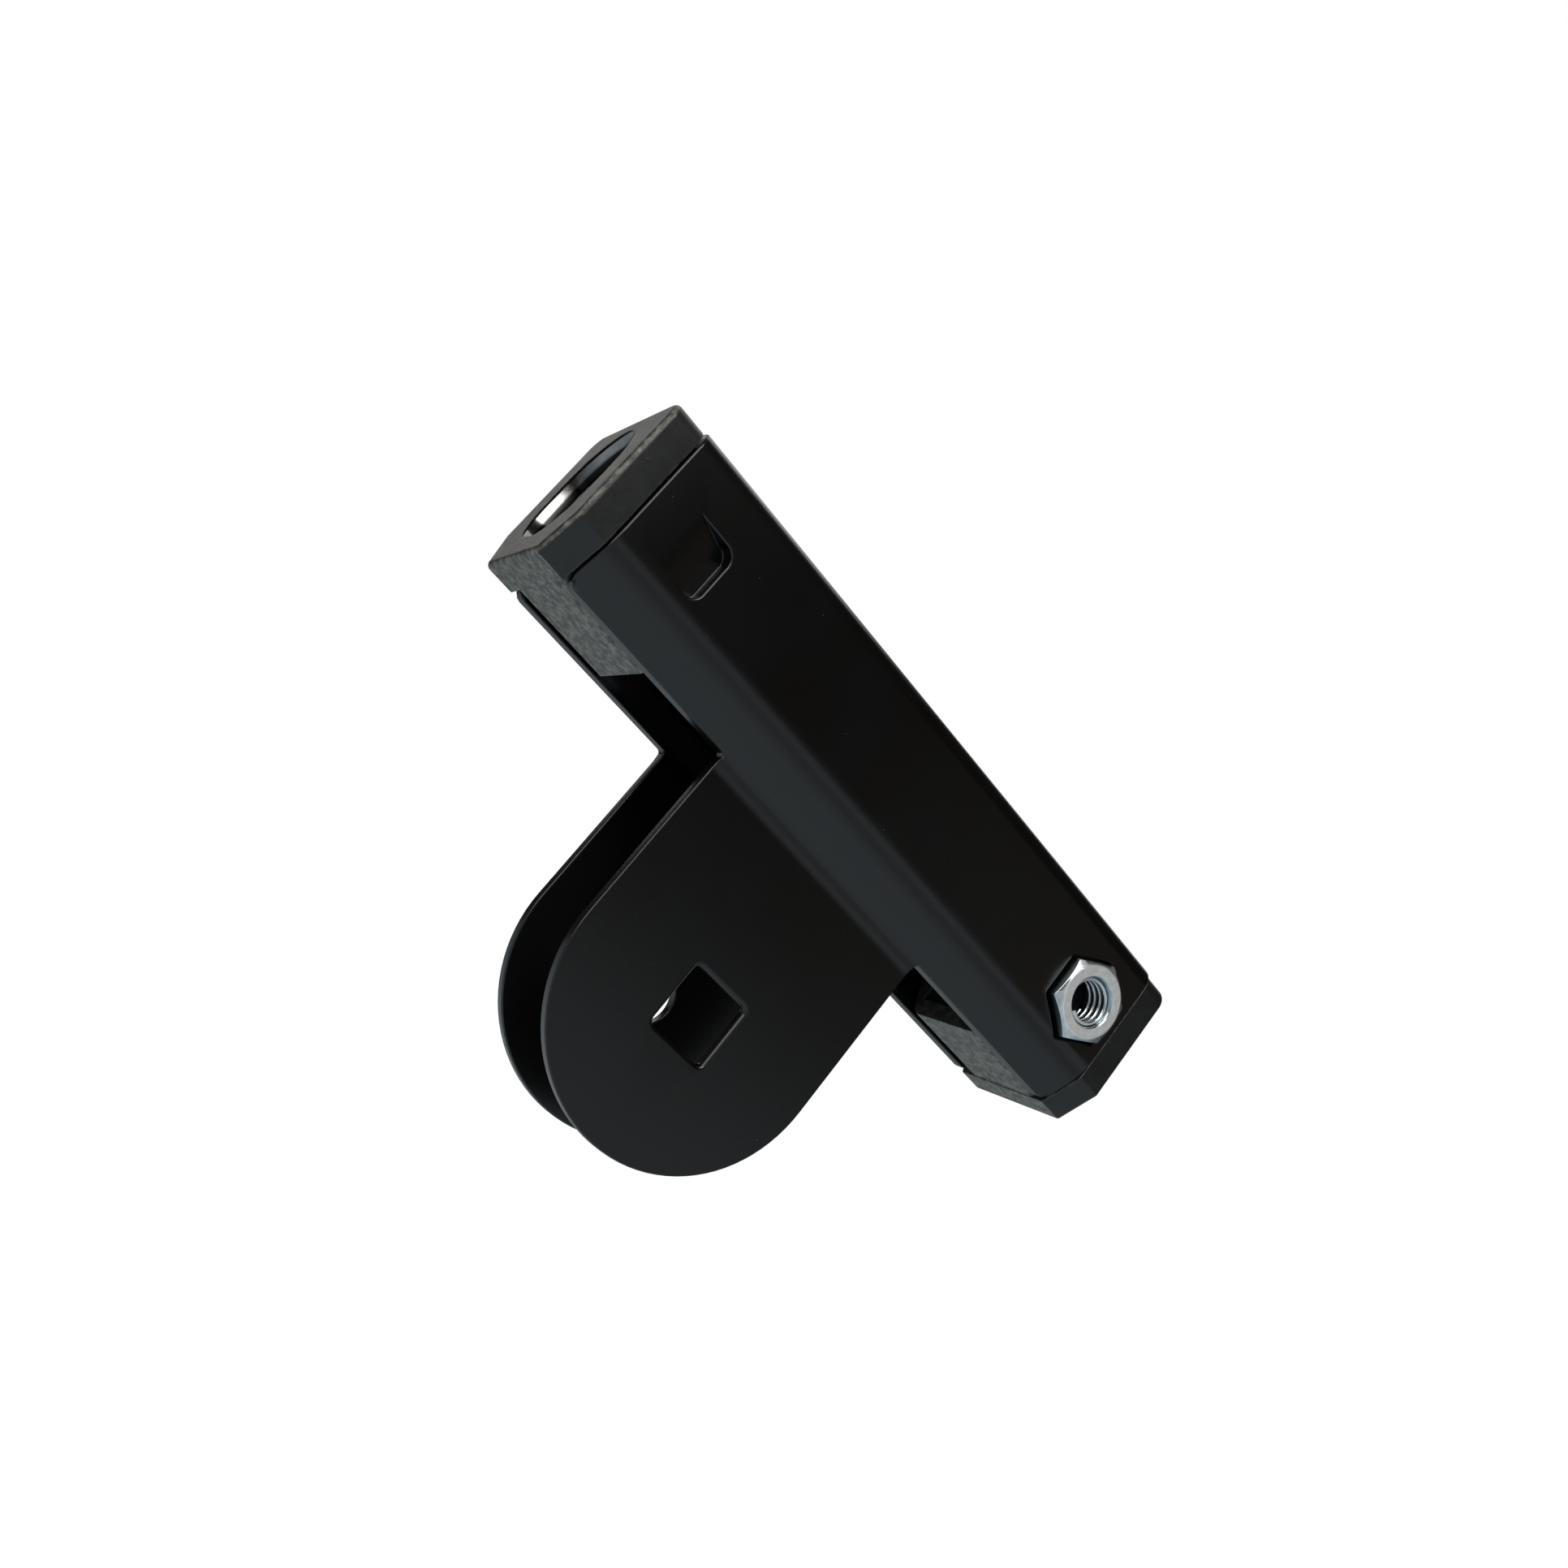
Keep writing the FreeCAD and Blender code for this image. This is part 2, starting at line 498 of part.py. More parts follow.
def end_cap(suffix, end):
    """A moulded cartridge: the head outside the channel, the insert and cheeks inside it."""
    body = new_body("end_cap_" + suffix)
    head = new_sketch(body, "head_outline_" + suffix, "YZ_Plane", HEAD_X)
    polygon(head, mirrored([(HEAD_SIDE, HEAD_TOP), (HEAD_SIDE, HEAD_BEND), (HEAD_FOOT, EDGE)]))
    shape = swept(body, "Pad", "head_" + suffix, head, "cap_head")
    shape = rounded(body, "head_corners_" + suffix, shape, lengthwise(HEAD_SIDE, HEAD_TOP),
                    "fold_radius + sheet - cap_step")
    face = amount(FACE_X)
    rounded(body, "rim_" + suffix, shape, lambda edge: near(edge.BoundBox.XMin, face), "cap_round")

    insert = new_sketch(body, "insert_outline_" + suffix, "YZ_Plane", HEAD_X)
    foot_side = FOOT_IN + " - slide_clear"
    foot_low = EDGE + " + slide_clear"
    bend_in = BEND + " + " + LIFT
    polygon(insert, mirrored([(CHEEK, INSERT_TOP), (CHEEK, bend_in), (foot_side, foot_low)]))
    shape = swept(body, "Pad", "insert_" + suffix, insert, "insert_depth + cap_gap", backwards=True)
    shape = rounded(body, "cheek_bends_" + suffix, shape, lengthwise(CHEEK, bend_in), TAPER_IN)
    rounded(body, "foot_edges_" + suffix, shape, lengthwise(foot_side, foot_low), "foot_chamfer",
            kind="Chamfer")

    ears = new_sketch(body, "ears_outline_" + suffix, "YZ_Plane", END + " - insert_depth / 2")
    polygon(ears, mirrored([(CHEEK, INSERT_TOP), (CHEEK, "ear_rise")]))
    shape = swept(body, "Pad", "ears_" + suffix, ears, "ear_depth - insert_depth / 2", backwards=True)
    rounded(body, "insert_corners_" + suffix, shape, lengthwise(CHEEK, INSERT_TOP), "fold_radius")

    way = new_sketch(body, "cable_way_outline_" + suffix, "YZ_Plane", END + " - ear_depth - " + PLENTY)
    polygon(way, mirrored([(WAY, "way_top"), (WAY, "0 - floor_drop")]))
    swept(body, "Pocket", "cable_way_" + suffix, way,
          "ear_depth + %s + cap_gap + ring_set" % PLENTY, backwards=True)
    bay = new_sketch(body, "roller_bay_outline_" + suffix, "YZ_Plane", END + " - ear_depth - " + PLENTY)
    polygon(bay, mirrored([(WAY, TOP), (WAY, "0 - floor_drop")]))
    swept(body, "Pocket", "roller_bay_" + suffix, bay, "ear_depth + %s - way_depth" % PLENTY, backwards=True)

    bore = new_sketch(body, "bore_outline_" + suffix, "YZ_Plane", FACE_X + " + " + PLENTY)
    oval(bore, "0")
    swept(body, "Pocket", "bore_" + suffix, bore, "cap_head + " + PLENTY)
    seat_sketch = new_sketch(body, "ring_seat_outline_" + suffix, "YZ_Plane", FACE_X + " - ring_set")
    oval(seat_sketch, "( ring_wall + ring_fit )")
    swept(body, "Pocket", "ring_seat_" + suffix, seat_sketch, "ring_length + ring_fit")

    axle_hole = new_sketch(body, "axle_hole_outline_" + suffix, "XZ_Plane")
    circle(axle_hole, AXLE_X, AXLE_Z, "( axle_radius + axle_fit )")
    swept(body, "Pocket", "axle_hole_" + suffix, axle_hole, side="Symmetric")

    # the sketch plane faces -Y, so a cut that starts at the nut's inner face runs out through the wall
    nut_pocket = new_sketch(body, "nut_pocket_outline_" + suffix, "XZ_Plane",
                            WALL + " + nut_stand - nut_thick - nut_seat_clear")
    polygon(nut_pocket, hexagon(NUT_X, NUT_Z, "( nut_flats / 2 + nut_seat_clear )"))
    swept(body, "Pocket", "nut_pocket_" + suffix, nut_pocket, "nut_thick", backwards=True)

    window = new_sketch(body, "window_outline_" + suffix, "XZ_Plane", turned(CATCH_FLOOR + " - slide_clear"))
    low = CATCH_Z + " - catch_tall / 2 - catch_wall - slide_clear"
    high = CATCH_Z + " + catch_tall / 2 + catch_wall + slide_clear"
    inner = CATCH_DEEP + " - catch_wall - slide_clear"
    outer = CATCH_SHALLOW + " + slide_clear"
    polygon(window, [(inner, low), (outer, low), (outer, high), (inner, high)])
    swept(body, "Pocket", "window_" + suffix, window, PLENTY)
    return seat(body, "end_cap_" + suffix, end, on_axle=False)


def guide_ring(suffix, end):
    body = new_body("guide_ring_" + suffix)
    outline = new_sketch(body, "ring_outline_" + suffix, "YZ_Plane", FACE_X + " - ring_set")
    oval(outline, "ring_wall")
    swept(body, "Pad", "ring_" + suffix, outline, "ring_length", backwards=True)
    bore = new_sketch(body, "ring_bore_outline_" + suffix, "YZ_Plane", FACE_X)
    oval(bore, "0")
    shape = swept(body, "Pocket", "ring_bore_" + suffix, bore, "ring_length + cap_head")
    front = amount(FACE_X + " - ring_set")
    reach = amount("oval_width / 2") + 0.01
    rounded(body, "ring_flare_" + suffix, shape,
            lambda edge: near(edge.BoundBox.XMin, front) and edge.BoundBox.YMax < reach
            and edge.BoundBox.YMin > -reach, "ring_flare", kind="Chamfer")
    return seat(body, "guide_ring_" + suffix, end, on_axle=False)


def lock_nut(suffix, end):
    """A chamfered hexagon whose bore stands for the thread."""
    body = new_body("lock_nut_" + suffix)
    outer_face = WALL + " + nut_stand"
    outline = new_sketch(body, "nut_outline_" + suffix, "XZ_Plane", outer_face)
    polygon(outline, hexagon(NUT_X, NUT_Z, "nut_flats / 2"))
    swept(body, "Pad", "nut_blank_" + suffix, outline, "nut_thick", backwards=True)
    bore = new_sketch(body, "nut_bore_outline_" + suffix, "XZ_Plane", outer_face)
    circle(bore, NUT_X, NUT_Z, "nut_bore / 2")
    swept(body, "Pocket", "nut_bore_" + suffix, bore, "nut_thick + " + PLENTY)

    # a 30 degree chamfer at each face takes the six points down to a circle as wide as the flats
    corner = new_sketch(body, "nut_corner_outline_" + suffix, "XY_Plane", NUT_Z)
    flats = NUT_X + " + nut_flats / 2"
    beyond = NUT_X + " + nut_flats * 2 / 3"
    drop = "( nut_flats / 6 * tan( 30 ) )"
    for face, sign in ((turned(outer_face), "+"), (turned(outer_face + " - nut_thick"), "-")):
        polygon(corner, [(flats, face), (beyond, face), (beyond, "%s %s %s" % (face, sign, drop))])
    start = FreeCAD.Vector(amount(NUT_X), -1, 0)
    finish = FreeCAD.Vector(amount(NUT_X), -2, 0)
    axis_line = corner.addGeometry(Part.LineSegment(start, finish), True)
    pin(corner, axis_line, 1, NUT_X, "0 - 1")
    pin(corner, axis_line, 2, NUT_X, "0 - 2")
    groove = body.newObject("PartDesign::Groove", "nut_chamfers_" + suffix)
    groove.Profile = (corner, [""])
    groove.ReferenceAxis = (corner, ["Axis0"])
    groove.Angle = 360
    return seat(body, "lock_nut_" + suffix, end, on_axle=False)


# ---------------------------------------------------------------- rollers
ROWS = (turned(ROW), ROW)                            # the two rows of balls
BALL_SPACE = "( ball_radius + ball_clear )"
ON_AXLE = "( axle_radius + axle_fit )"


def roller(suffix, end):
    name = "roller_" + suffix
    blank = lathe(name + "_blank", ROLLER, "roller_width")
    tools = [lathe(name + "_bore", OUTER_SHOULDER, "roller_width + " + PLENTY),
             ring_race(name + "_groove", GROOVE_FLOOR + " + " + GROOVE_SECTION, GROOVE_SECTION, "0")]
    tools += [ring_race(name + "_race", BALL_CIRCLE, BALL_SPACE, across) for across in ROWS]
    seat_width = "( shield_thick + shield_set )"
    for sign in ("-", "+"):
        middle = "0 %s ( roller_width / 2 - %s / 2 )" % (sign, seat_width)
        tools.append(lathe(name + "_shield_seat", OUTER_SHOULDER + " + shield_lap", seat_width, middle))
    return seat(minus(name, blank, tools), name, end, on_axle=True)


def inner_ring(suffix, end):
    name = "inner_ring_" + suffix
    blank = lathe(name + "_blank", INNER_SHOULDER, "2 * " + INNER_HALF)
    tools = [lathe(name + "_bore", ON_AXLE, "roller_width + " + PLENTY)]
    tools += [ring_race(name + "_race", BALL_CIRCLE, BALL_SPACE, across) for across in ROWS]
    return seat(minus(name, blank, tools), name, end, on_axle=True)


def ball(name, radius, across, index):
    """One ball on its row's circle."""
    solid = doc.addObject("Part::Sphere", name)
    solid.setExpression("Radius", bound(radius))
    angle = "%g" % (360.0 / BALLS_IN_ROW * index)
    solid.setExpression("Placement.Base.x", bound("%s * cos( %s )" % (BALL_CIRCLE, angle)))
    solid.setExpression("Placement.Base.y", bound(across))
    solid.setExpression("Placement.Base.z", bound("%s * sin( %s )" % (BALL_CIRCLE, angle)))
    return solid


def row_of_balls(name, radius, across):
    return [ball(name, radius, across, index) for index in range(BALLS_IN_ROW)]


def balls(suffix, end):
    name = "balls_" + suffix
    solids = []
    for across in ROWS:
        solids += row_of_balls(name + "_ball", "ball_radius", across)
    return seat(together(name, solids), name, end, on_axle=True)


def ball_cages(suffix, end):
    name = "ball_cages_" + suffix
    width = "2 * ( %s + cage_side )" % BALL_SPACE
    cages = []
    for across in ROWS:
        hoop = lathe(name + "_hoop", BALL_CIRCLE + " + cage_wall / 2", width, across)
        bore = lathe(name + "_bore", BALL_CIRCLE + " - cage_wall / 2", width + " + 1", across)
        pockets = row_of_balls(name + "_pocket", BALL_SPACE, across)
        cages.append(minus(name + "_cage", hoop, [bore] + pockets))
    return seat(together(name, cages), name, end, on_axle=True)


def disc_pair(name, outer, inner, thick, middle):
    """Two flat rings, one each side of the roller."""
    discs = []
    for sign in ("-", "+"):
        across = "0 %s ( %s )" % (sign, middle)
        rim = lathe(name + "_rim", outer, thick, across)
        hole = lathe(name + "_hole", inner, thick + " + 1", across)
        discs.append(minus(name + "_disc", rim, [hole]))
    return together(name, discs)


def shields(suffix, end):
    name = "shields_" + suffix
    outer = OUTER_SHOULDER + " + shield_lap"
    inner = INNER_SHOULDER + " + shield_clear"
    middle = "roller_width / 2 - shield_set - shield_thick / 2"
    return seat(disc_pair(name, outer, inner, "shield_thick", middle), name, end, on_axle=True)


def spacers(suffix, end):
    name = "spacers_" + suffix
    outer = INNER_SHOULDER + " + spacer_lap"
    middle = INNER_HALF + " + spacer_thick / 2"
    return seat(disc_pair(name, outer, ON_AXLE, "spacer_thick", middle), name, end, on_axle=True)


def axle(suffix, end):
    name = "axle_" + suffix
    blank = lathe(name + "_blank", "axle_radius", "2 * " + CHEEK)
    doc.recompute()
    pin_solid = doc.addObject("Part::Chamfer", name)
    pin_solid.Base = blank
    size = amount("axle_chamfer")
    pin_solid.Edges = [(index + 1, size, size) for index, edge in enumerate(blank.Shape.Edges)
                       if edge.Curve.TypeId == "Part::GeomCircle"]
    return seat(pin_solid, name, end, on_axle=True)


# ---------------------------------------------------------------- the whole trolley
EACH_END = (end_cap, guide_ring, lock_nut, roller, inner_ring, balls, ball_cages, shields, spacers, axle)
nodes = [housing()]
for suffix, end in (("front", 1), ("rear", -1)):
    nodes += [make(suffix, end) for make in EACH_END]
doc.recompute()

for item in doc.Objects:
    if "Invalid" in item.State or "Error" in item.State:
        raise RuntimeError("%s failed: %s" % (item.Label, item.State))
os.makedirs("parts", exist_ok=True)
for node in nodes:
    if node.Shape.isNull() or not node.Shape.isValid():
        raise RuntimeError("%s has no valid shape" % node.Label)
    node.Shape.exportStep("parts/%s.step" % node.Label)
    box = node.Shape.BoundBox
    print("%-20s solids %2d  volume %9.1f  box %6.1f %6.1f %6.1f .. %6.1f %6.1f %6.1f" % (
        node.Label, len(node.Shape.Solids), node.Shape.Volume,
        box.XMin, box.YMin, box.ZMin, box.XMax, box.YMax, box.ZMax))
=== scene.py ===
# %% [markdown]
# # A zip line trolley
# The trolley runs along an 8 mm steel cable and carries a seat below it. A channel folded from
# 2.5 mm steel holds everything: it is closed on top, its walls lean in below, and each wall hangs
# down as a round lobe with a square hole for the seat's bolt. A moulded cartridge slides into each
# end with a roller, its bearing and an oval steel ring that guides the cable. This notebook gives
# those parts their looks. Where each part lies comes from the loaded frame, in metres, so nothing
# here is fitted by eye.

import json
import math

import bmesh
import bpy
from mathutils import Matrix, Vector


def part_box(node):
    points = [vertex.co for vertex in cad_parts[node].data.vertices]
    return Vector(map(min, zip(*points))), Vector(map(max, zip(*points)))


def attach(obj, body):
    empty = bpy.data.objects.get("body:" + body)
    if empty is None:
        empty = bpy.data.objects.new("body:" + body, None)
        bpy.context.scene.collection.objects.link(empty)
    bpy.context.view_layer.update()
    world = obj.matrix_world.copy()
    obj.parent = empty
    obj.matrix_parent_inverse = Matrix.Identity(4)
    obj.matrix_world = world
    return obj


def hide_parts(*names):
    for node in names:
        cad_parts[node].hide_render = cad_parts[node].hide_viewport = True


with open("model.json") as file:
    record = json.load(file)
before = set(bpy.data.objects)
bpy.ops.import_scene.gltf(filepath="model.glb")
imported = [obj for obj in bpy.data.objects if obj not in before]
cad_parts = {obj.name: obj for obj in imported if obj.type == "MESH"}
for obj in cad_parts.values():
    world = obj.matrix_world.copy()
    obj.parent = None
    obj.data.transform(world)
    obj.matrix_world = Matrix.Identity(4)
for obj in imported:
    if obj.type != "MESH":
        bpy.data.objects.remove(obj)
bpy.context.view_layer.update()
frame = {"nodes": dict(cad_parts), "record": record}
MM = 0.001

# %% [markdown]
# ## The view
# The trolley is seen from below and from its rear end, with the camera rolled so that the body runs
# down the frame from the upper left. A camera could be aimed with a constraint, but a rolled one is
# clearer as a matrix whose columns are the picture's right and up and the way back to the viewer.

# %% Camera
CAMERA_PLACE = Vector((-0.1158, -0.2273, -0.0823))
LOOKING = Vector((0.3878, 0.8933, 0.2272)).normalized()
PICTURE_UP = Vector((-0.660, 0.097, 0.745))
FOCAL_LENGTH = 31.38
SHIFT = (0.0616, 0.0497)

camera = bpy.data.objects.new("camera", bpy.data.cameras.new("camera"))
bpy.context.scene.collection.objects.link(camera)
right = LOOKING.cross(PICTURE_UP).normalized()
up = right.cross(LOOKING)
turn = Matrix((right, up, -LOOKING)).transposed().to_4x4()
camera.matrix_world = Matrix.Translation(CAMERA_PLACE) @ turn
camera.data.sensor_width = 36.0
camera.data.lens = FOCAL_LENGTH
camera.data.shift_x, camera.data.shift_y = SHIFT
camera.data.clip_start = 0.01
camera.data.clip_end = 50.0
bpy.context.scene.camera = camera
print("camera", [round(value, 4) for value in camera.location])

# %% [markdown]
# ## Shader helpers
# Every finish below is a node tree. Building one by hand takes three steps again and again: make a
# node, set its menus, set its sockets. One small helper does all three, and a second one joins two
# sockets. A few more do the sums that every finish needs, so that each reads as a short list.

# %% Node helpers
def add(tree, kind, menus=None, **sockets):
    """A node in the tree, with its menus set, and its sockets set by name."""
    node = tree.nodes.new(kind)
    for name, value in (menus or {}).items():
        setattr(node, name, value)
    for name, value in sockets.items():
        node.inputs[name.replace("_", " ")].default_value = value
    return node


def join(tree, source, target):
    """Link an output to an input; each is (node, socket name or number)."""
    tree.links.new(source[0].outputs[source[1]], target[0].inputs[target[1]])


def math_node(tree, operation, first, second=None, clamp=False):
    """A Math node on sockets or plain numbers; returns its output as (node, 0)."""
    node = add(tree, "ShaderNodeMath", {"operation": operation, "use_clamp": clamp})
    for index, value in enumerate((first, second)):
        if isinstance(value, tuple):
            join(tree, value, (node, index))
        elif value is not None:
            node.inputs[index].default_value = value
    return (node, 0)


SMOOTH = {"interpolation_type": "SMOOTHSTEP"}


def ramp(tree, source, low, high):
    """0 below low, 1 above high, smooth between."""
    node = add(tree, "ShaderNodeMapRange", SMOOTH, From_Min=low, From_Max=high)
    join(tree, source, (node, "Value"))
    return (node, "Result")


def scaled(tree, source, factor):
    return math_node(tree, "MULTIPLY", source, factor)


def span(tree, source, low, high):
    """low where the source is 0, high where it is 1."""
    return math_node(tree, "ADD", scaled(tree, source, high - low), low)


def blend(tree, factor, first, second):
    """Mix two colours; each is a socket pair or an RGB triple."""
    node = add(tree, "ShaderNodeMix", {"data_type": "RGBA"})
    join(tree, factor, (node, "Factor"))
    for name, value in (("A", first), ("B", second)):
        socket = next(item for item in node.inputs if item.name == name and item.type == "RGBA")
        if isinstance(value, tuple) and isinstance(value[0], bpy.types.Node):
            tree.links.new(value[0].outputs[value[1]], socket)
        else:
            socket.default_value = (*value, 1.0)
    return (node, 2)


def new_material(name, **sockets):
    """A material with one Principled shader, its plain numbers set on its own sockets."""
    material = bpy.data.materials.new(name)
    material.use_nodes = True
    shader = material.node_tree.nodes["Principled BSDF"]
    for socket, value in sockets.items():
        shader.inputs[socket.replace("_", " ")].default_value = value
    return material, material.node_tree, shader


# %% [markdown]
# ## Studio
# A small steel object is lit best by large pale surfaces that it can mirror. A pale floor below
# gives the leaning walls their soft band of light, a pale sweep high behind outlines the silhouette,
# and a soft light on the left draws the cut edges. The side that the upright walls mirror stays
# dark, which keeps them black. A key light stands well off that side: a smooth coat doesn't mirror
# it, and cloudy zinc scatters it and comes out bright. Two weak lights give the darkest places
# something to mirror, one in the wall beside the nut and one in the mouth of the ring. The
# background is plain white to the camera only, so that it doesn't wash out the coat.

# %% World
WARM_DARK = (1.0, 0.92, 0.84, 1.0)
DARK_STRENGTH = 0.026
WHITE = (1.0, 1.0, 1.0, 1.0)

world = bpy.data.worlds.new("studio")
bpy.context.scene.world = world
world.use_nodes = True
sky = world.node_tree
sky.nodes.clear()
seen = add(sky, "ShaderNodeLightPath")
dim = add(sky, "ShaderNodeBackground", Color=WARM_DARK, Strength=DARK_STRENGTH)
white = add(sky, "ShaderNodeBackground", Color=WHITE, Strength=1.0)
choice = add(sky, "ShaderNodeMixShader")
sky_out = add(sky, "ShaderNodeOutputWorld")
join(sky, (seen, "Is Camera Ray"), (choice, "Fac"))
join(sky, (dim, 0), (choice, 1))
join(sky, (white, 0), (choice, 2))
join(sky, (choice, 0), (sky_out, "Surface"))
bpy.context.scene.view_settings.view_transform = "Standard"

# %% Floor
FLOOR_DROP = 0.28
FLOOR_HALF = 5.0
FLOOR_NEAR = 0.78
FLOOR_FAR = 0.30
FLOOR_GLOW = (0.82, 0.93, 1.0, 1.0)
GLOW_REACH = 1.3


def floor_material():
    material = bpy.data.materials.new("pale_floor")
    material.use_nodes = True
    tree = material.node_tree
    tree.nodes.clear()
    place = add(tree, "ShaderNodeTexCoord")
    distance = add(tree, "ShaderNodeVectorMath", {"operation": "LENGTH"})
    join(tree, (place, "Object"), (distance, 0))
    near = ramp(tree, (distance, "Value"), 0.0, GLOW_REACH)
    fading = math_node(tree, "SUBTRACT", 1.0, near)
    strength = span(tree, fading, FLOOR_FAR, FLOOR_NEAR)
    glow = add(tree, "ShaderNodeEmission", Color=FLOOR_GLOW)
    join(tree, strength, (glow, "Strength"))
    plain = add(tree, "ShaderNodeEmission", Color=WHITE, Strength=1.0)
    eye = add(tree, "ShaderNodeLightPath")
    pick = add(tree, "ShaderNodeMixShader")
    out = add(tree, "ShaderNodeOutputMaterial")
    join(tree, (eye, "Is Camera Ray"), (pick, "Fac"))
    join(tree, (glow, 0), (pick, 1))
    join(tree, (plain, 0), (pick, 2))
    join(tree, (pick, 0), (out, "Surface"))
    return material


floor_mesh = bpy.data.meshes.new("floor")
floor_mesh.from_pydata(
    [(-FLOOR_HALF, -FLOOR_HALF, 0), (FLOOR_HALF, -FLOOR_HALF, 0), (FLOOR_HALF, FLOOR_HALF, 0),
     (-FLOOR_HALF, FLOOR_HALF, 0)], [], [(0, 1, 2, 3)])
floor = bpy.data.objects.new("floor", floor_mesh)
floor.location.z = -FLOOR_DROP
floor_mesh.materials.append(floor_material())
bpy.context.scene.collection.objects.link(floor)

# %% Soft lights
def softbox(name, place, wide, high, radiance, tint=(1.0, 1.0, 1.0)):
    """A rectangular light that faces the trolley and stays out of the camera's own view."""
    lamp = bpy.data.lights.new(name, "AREA")
    lamp.shape = "RECTANGLE"
    lamp.size, lamp.size_y = wide, high
    lamp.energy = radiance * math.pi * wide * high
    lamp.color = tint
    box = bpy.data.objects.new(name, lamp)
    box.location = place
    box.rotation_euler = Vector(place).to_track_quat("Z", "Y").to_euler()
    box.visible_camera = False
    bpy.context.scene.collection.objects.link(box)


softbox("sweep_behind", (0.33, 0.95, 0.62), 1.75, 0.80, 0.9)
softbox("sweep_front", (0.60, -1.55, -0.02), 3.0, 0.42, 0.50, tint=(0.86, 0.95, 1.0))
softbox("light_left", (-0.85, -0.32, 0.20), 0.75, 0.50, 3.2)
softbox("light_above", (-0.1, 0.35, 0.95), 0.9, 0.6, 1.2)
softbox("light_right", (0.9, 0.45, 0.12), 0.5, 0.5, 0.7)
softbox("warm_corner", (1.05, -1.15, 0.52), 0.8, 0.5, 0.12, tint=(1.0, 0.92, 0.80))
softbox("ring_glint", (-0.14, -0.98, 0.42), 0.36, 0.30, 0.5)
softbox("key_light", (-0.45, -0.75, 0.62), 0.5, 0.5, 9.0, tint=(1.0, 0.98, 0.95))

# %% [markdown]
# ## Effects that several finishes share
# Grain, dust, scuffs and worn edges turn up on more than one material. Each is a node group with
# named inputs, so a finish places it and gives it its own size and amount. Each reads Object
# coordinates: the pattern stays on the piece when it moves, and needs no unwrapping. A group hands
# back only a height or a mask, and the shader itself stays in the material.

# %% Group helper
def new_group(name, inputs, outputs):
    """A shader group with float inputs {name: default} and float outputs."""
    group = bpy.data.node_groups.new(name, "ShaderNodeTree")
    for label, value in inputs.items():
        socket = group.interface.new_socket(name=label, in_out="INPUT", socket_type="NodeSocketFloat")
        socket.default_value = value
    for label in outputs:
        group.interface.new_socket(name=label, in_out="OUTPUT", socket_type="NodeSocketFloat")
    return group, add(group, "NodeGroupInput"), add(group, "NodeGroupOutput")


def place_group(tree, group, **sockets):
    node = add(tree, "ShaderNodeGroup", {"node_tree": group})
    for name, value in sockets.items():
        node.inputs[name.replace("_", " ")].default_value = value
    return node


def object_place(tree):
    return (add(tree, "ShaderNodeTexCoord"), "Object")


def noise(tree, **sockets):
    """A noise that stays on the piece; returns its output as (node, 0)."""
    node = add(tree, "ShaderNodeTexNoise", **sockets)
    join(tree, object_place(tree), (node, "Vector"))
    return (node, 0)


# %% [markdown]
# ### Grain
# Powder coat sets with an orange peel of shallow bumps about a millimetre wide, and moulded
# plastic copies the fine spark pattern of its mould. Both are a height made of a broad noise and a
# finer one, so one group serves both, with the two sizes as inputs.

# %% Grain group
def grain_group():
    inputs = {"Broad": 1 * MM, "Fine": 0.2 * MM, "Share": 0.3}
    group, given, result = new_group("grain", inputs, ["Height"])
    mix = add(group, "ShaderNodeMix", {"data_type": "FLOAT"})
    join(group, (given, "Share"), (mix, "Factor"))
    for size, socket in (("Broad", 2), ("Fine", 3)):
        height = noise(group, Detail=2.0, Roughness=0.5)
        join(group, math_node(group, "DIVIDE", 1.0, (given, size)), (height[0], "Scale"))
        join(group, height, (mix, socket))
    join(group, (mix, 0), (result, "Height"))
    return group


GRAIN = grain_group()

# %% [markdown]
# ### Dust
# Fine dust sits on a part that has been handled: small pale specks, a few to the centimetre. They
# could be modelled as grains, but they have no height worth seeing. Voronoi cells give one point
# to each cell, and a second noise keeps only some of them.

# %% Dust group
def dust_group():
    inputs = {"Spacing": 2 * MM, "Speck": 0.12, "Amount": 0.3}
    group, given, result = new_group("dust", inputs, ["Mask"])
    cells = add(group, "ShaderNodeTexVoronoi", {"feature": "F1"})
    join(group, object_place(group), (cells, "Vector"))
    join(group, math_node(group, "DIVIDE", 1.0, (given, "Spacing")), (cells, "Scale"))
    fade = add(group, "ShaderNodeMapRange", SMOOTH, To_Min=1.0, To_Max=0.0)
    join(group, (cells, "Distance"), (fade, "Value"))
    join(group, scaled(group, (given, "Speck"), 0.5), (fade, "From Min"))
    join(group, (given, "Speck"), (fade, "From Max"))
    split = add(group, "ShaderNodeSeparateColor")
    join(group, (cells, "Color"), (split, 0))
    keep = math_node(group, "LESS_THAN", (split, 0), (given, "Amount"))
    join(group, scaled(group, (fade, "Result"), keep), (result, "Mask"))
    return group


DUST = dust_group()

# %% [markdown]
# ### Scuffs
# A part that slides or is set down picks up short scratches, most of them along one line. A noise
# stretched along one axis gives streaks, a threshold keeps the sharpest, and a broad noise breaks
# them into patches. The three stretch inputs say how much finer the pattern is along each axis.

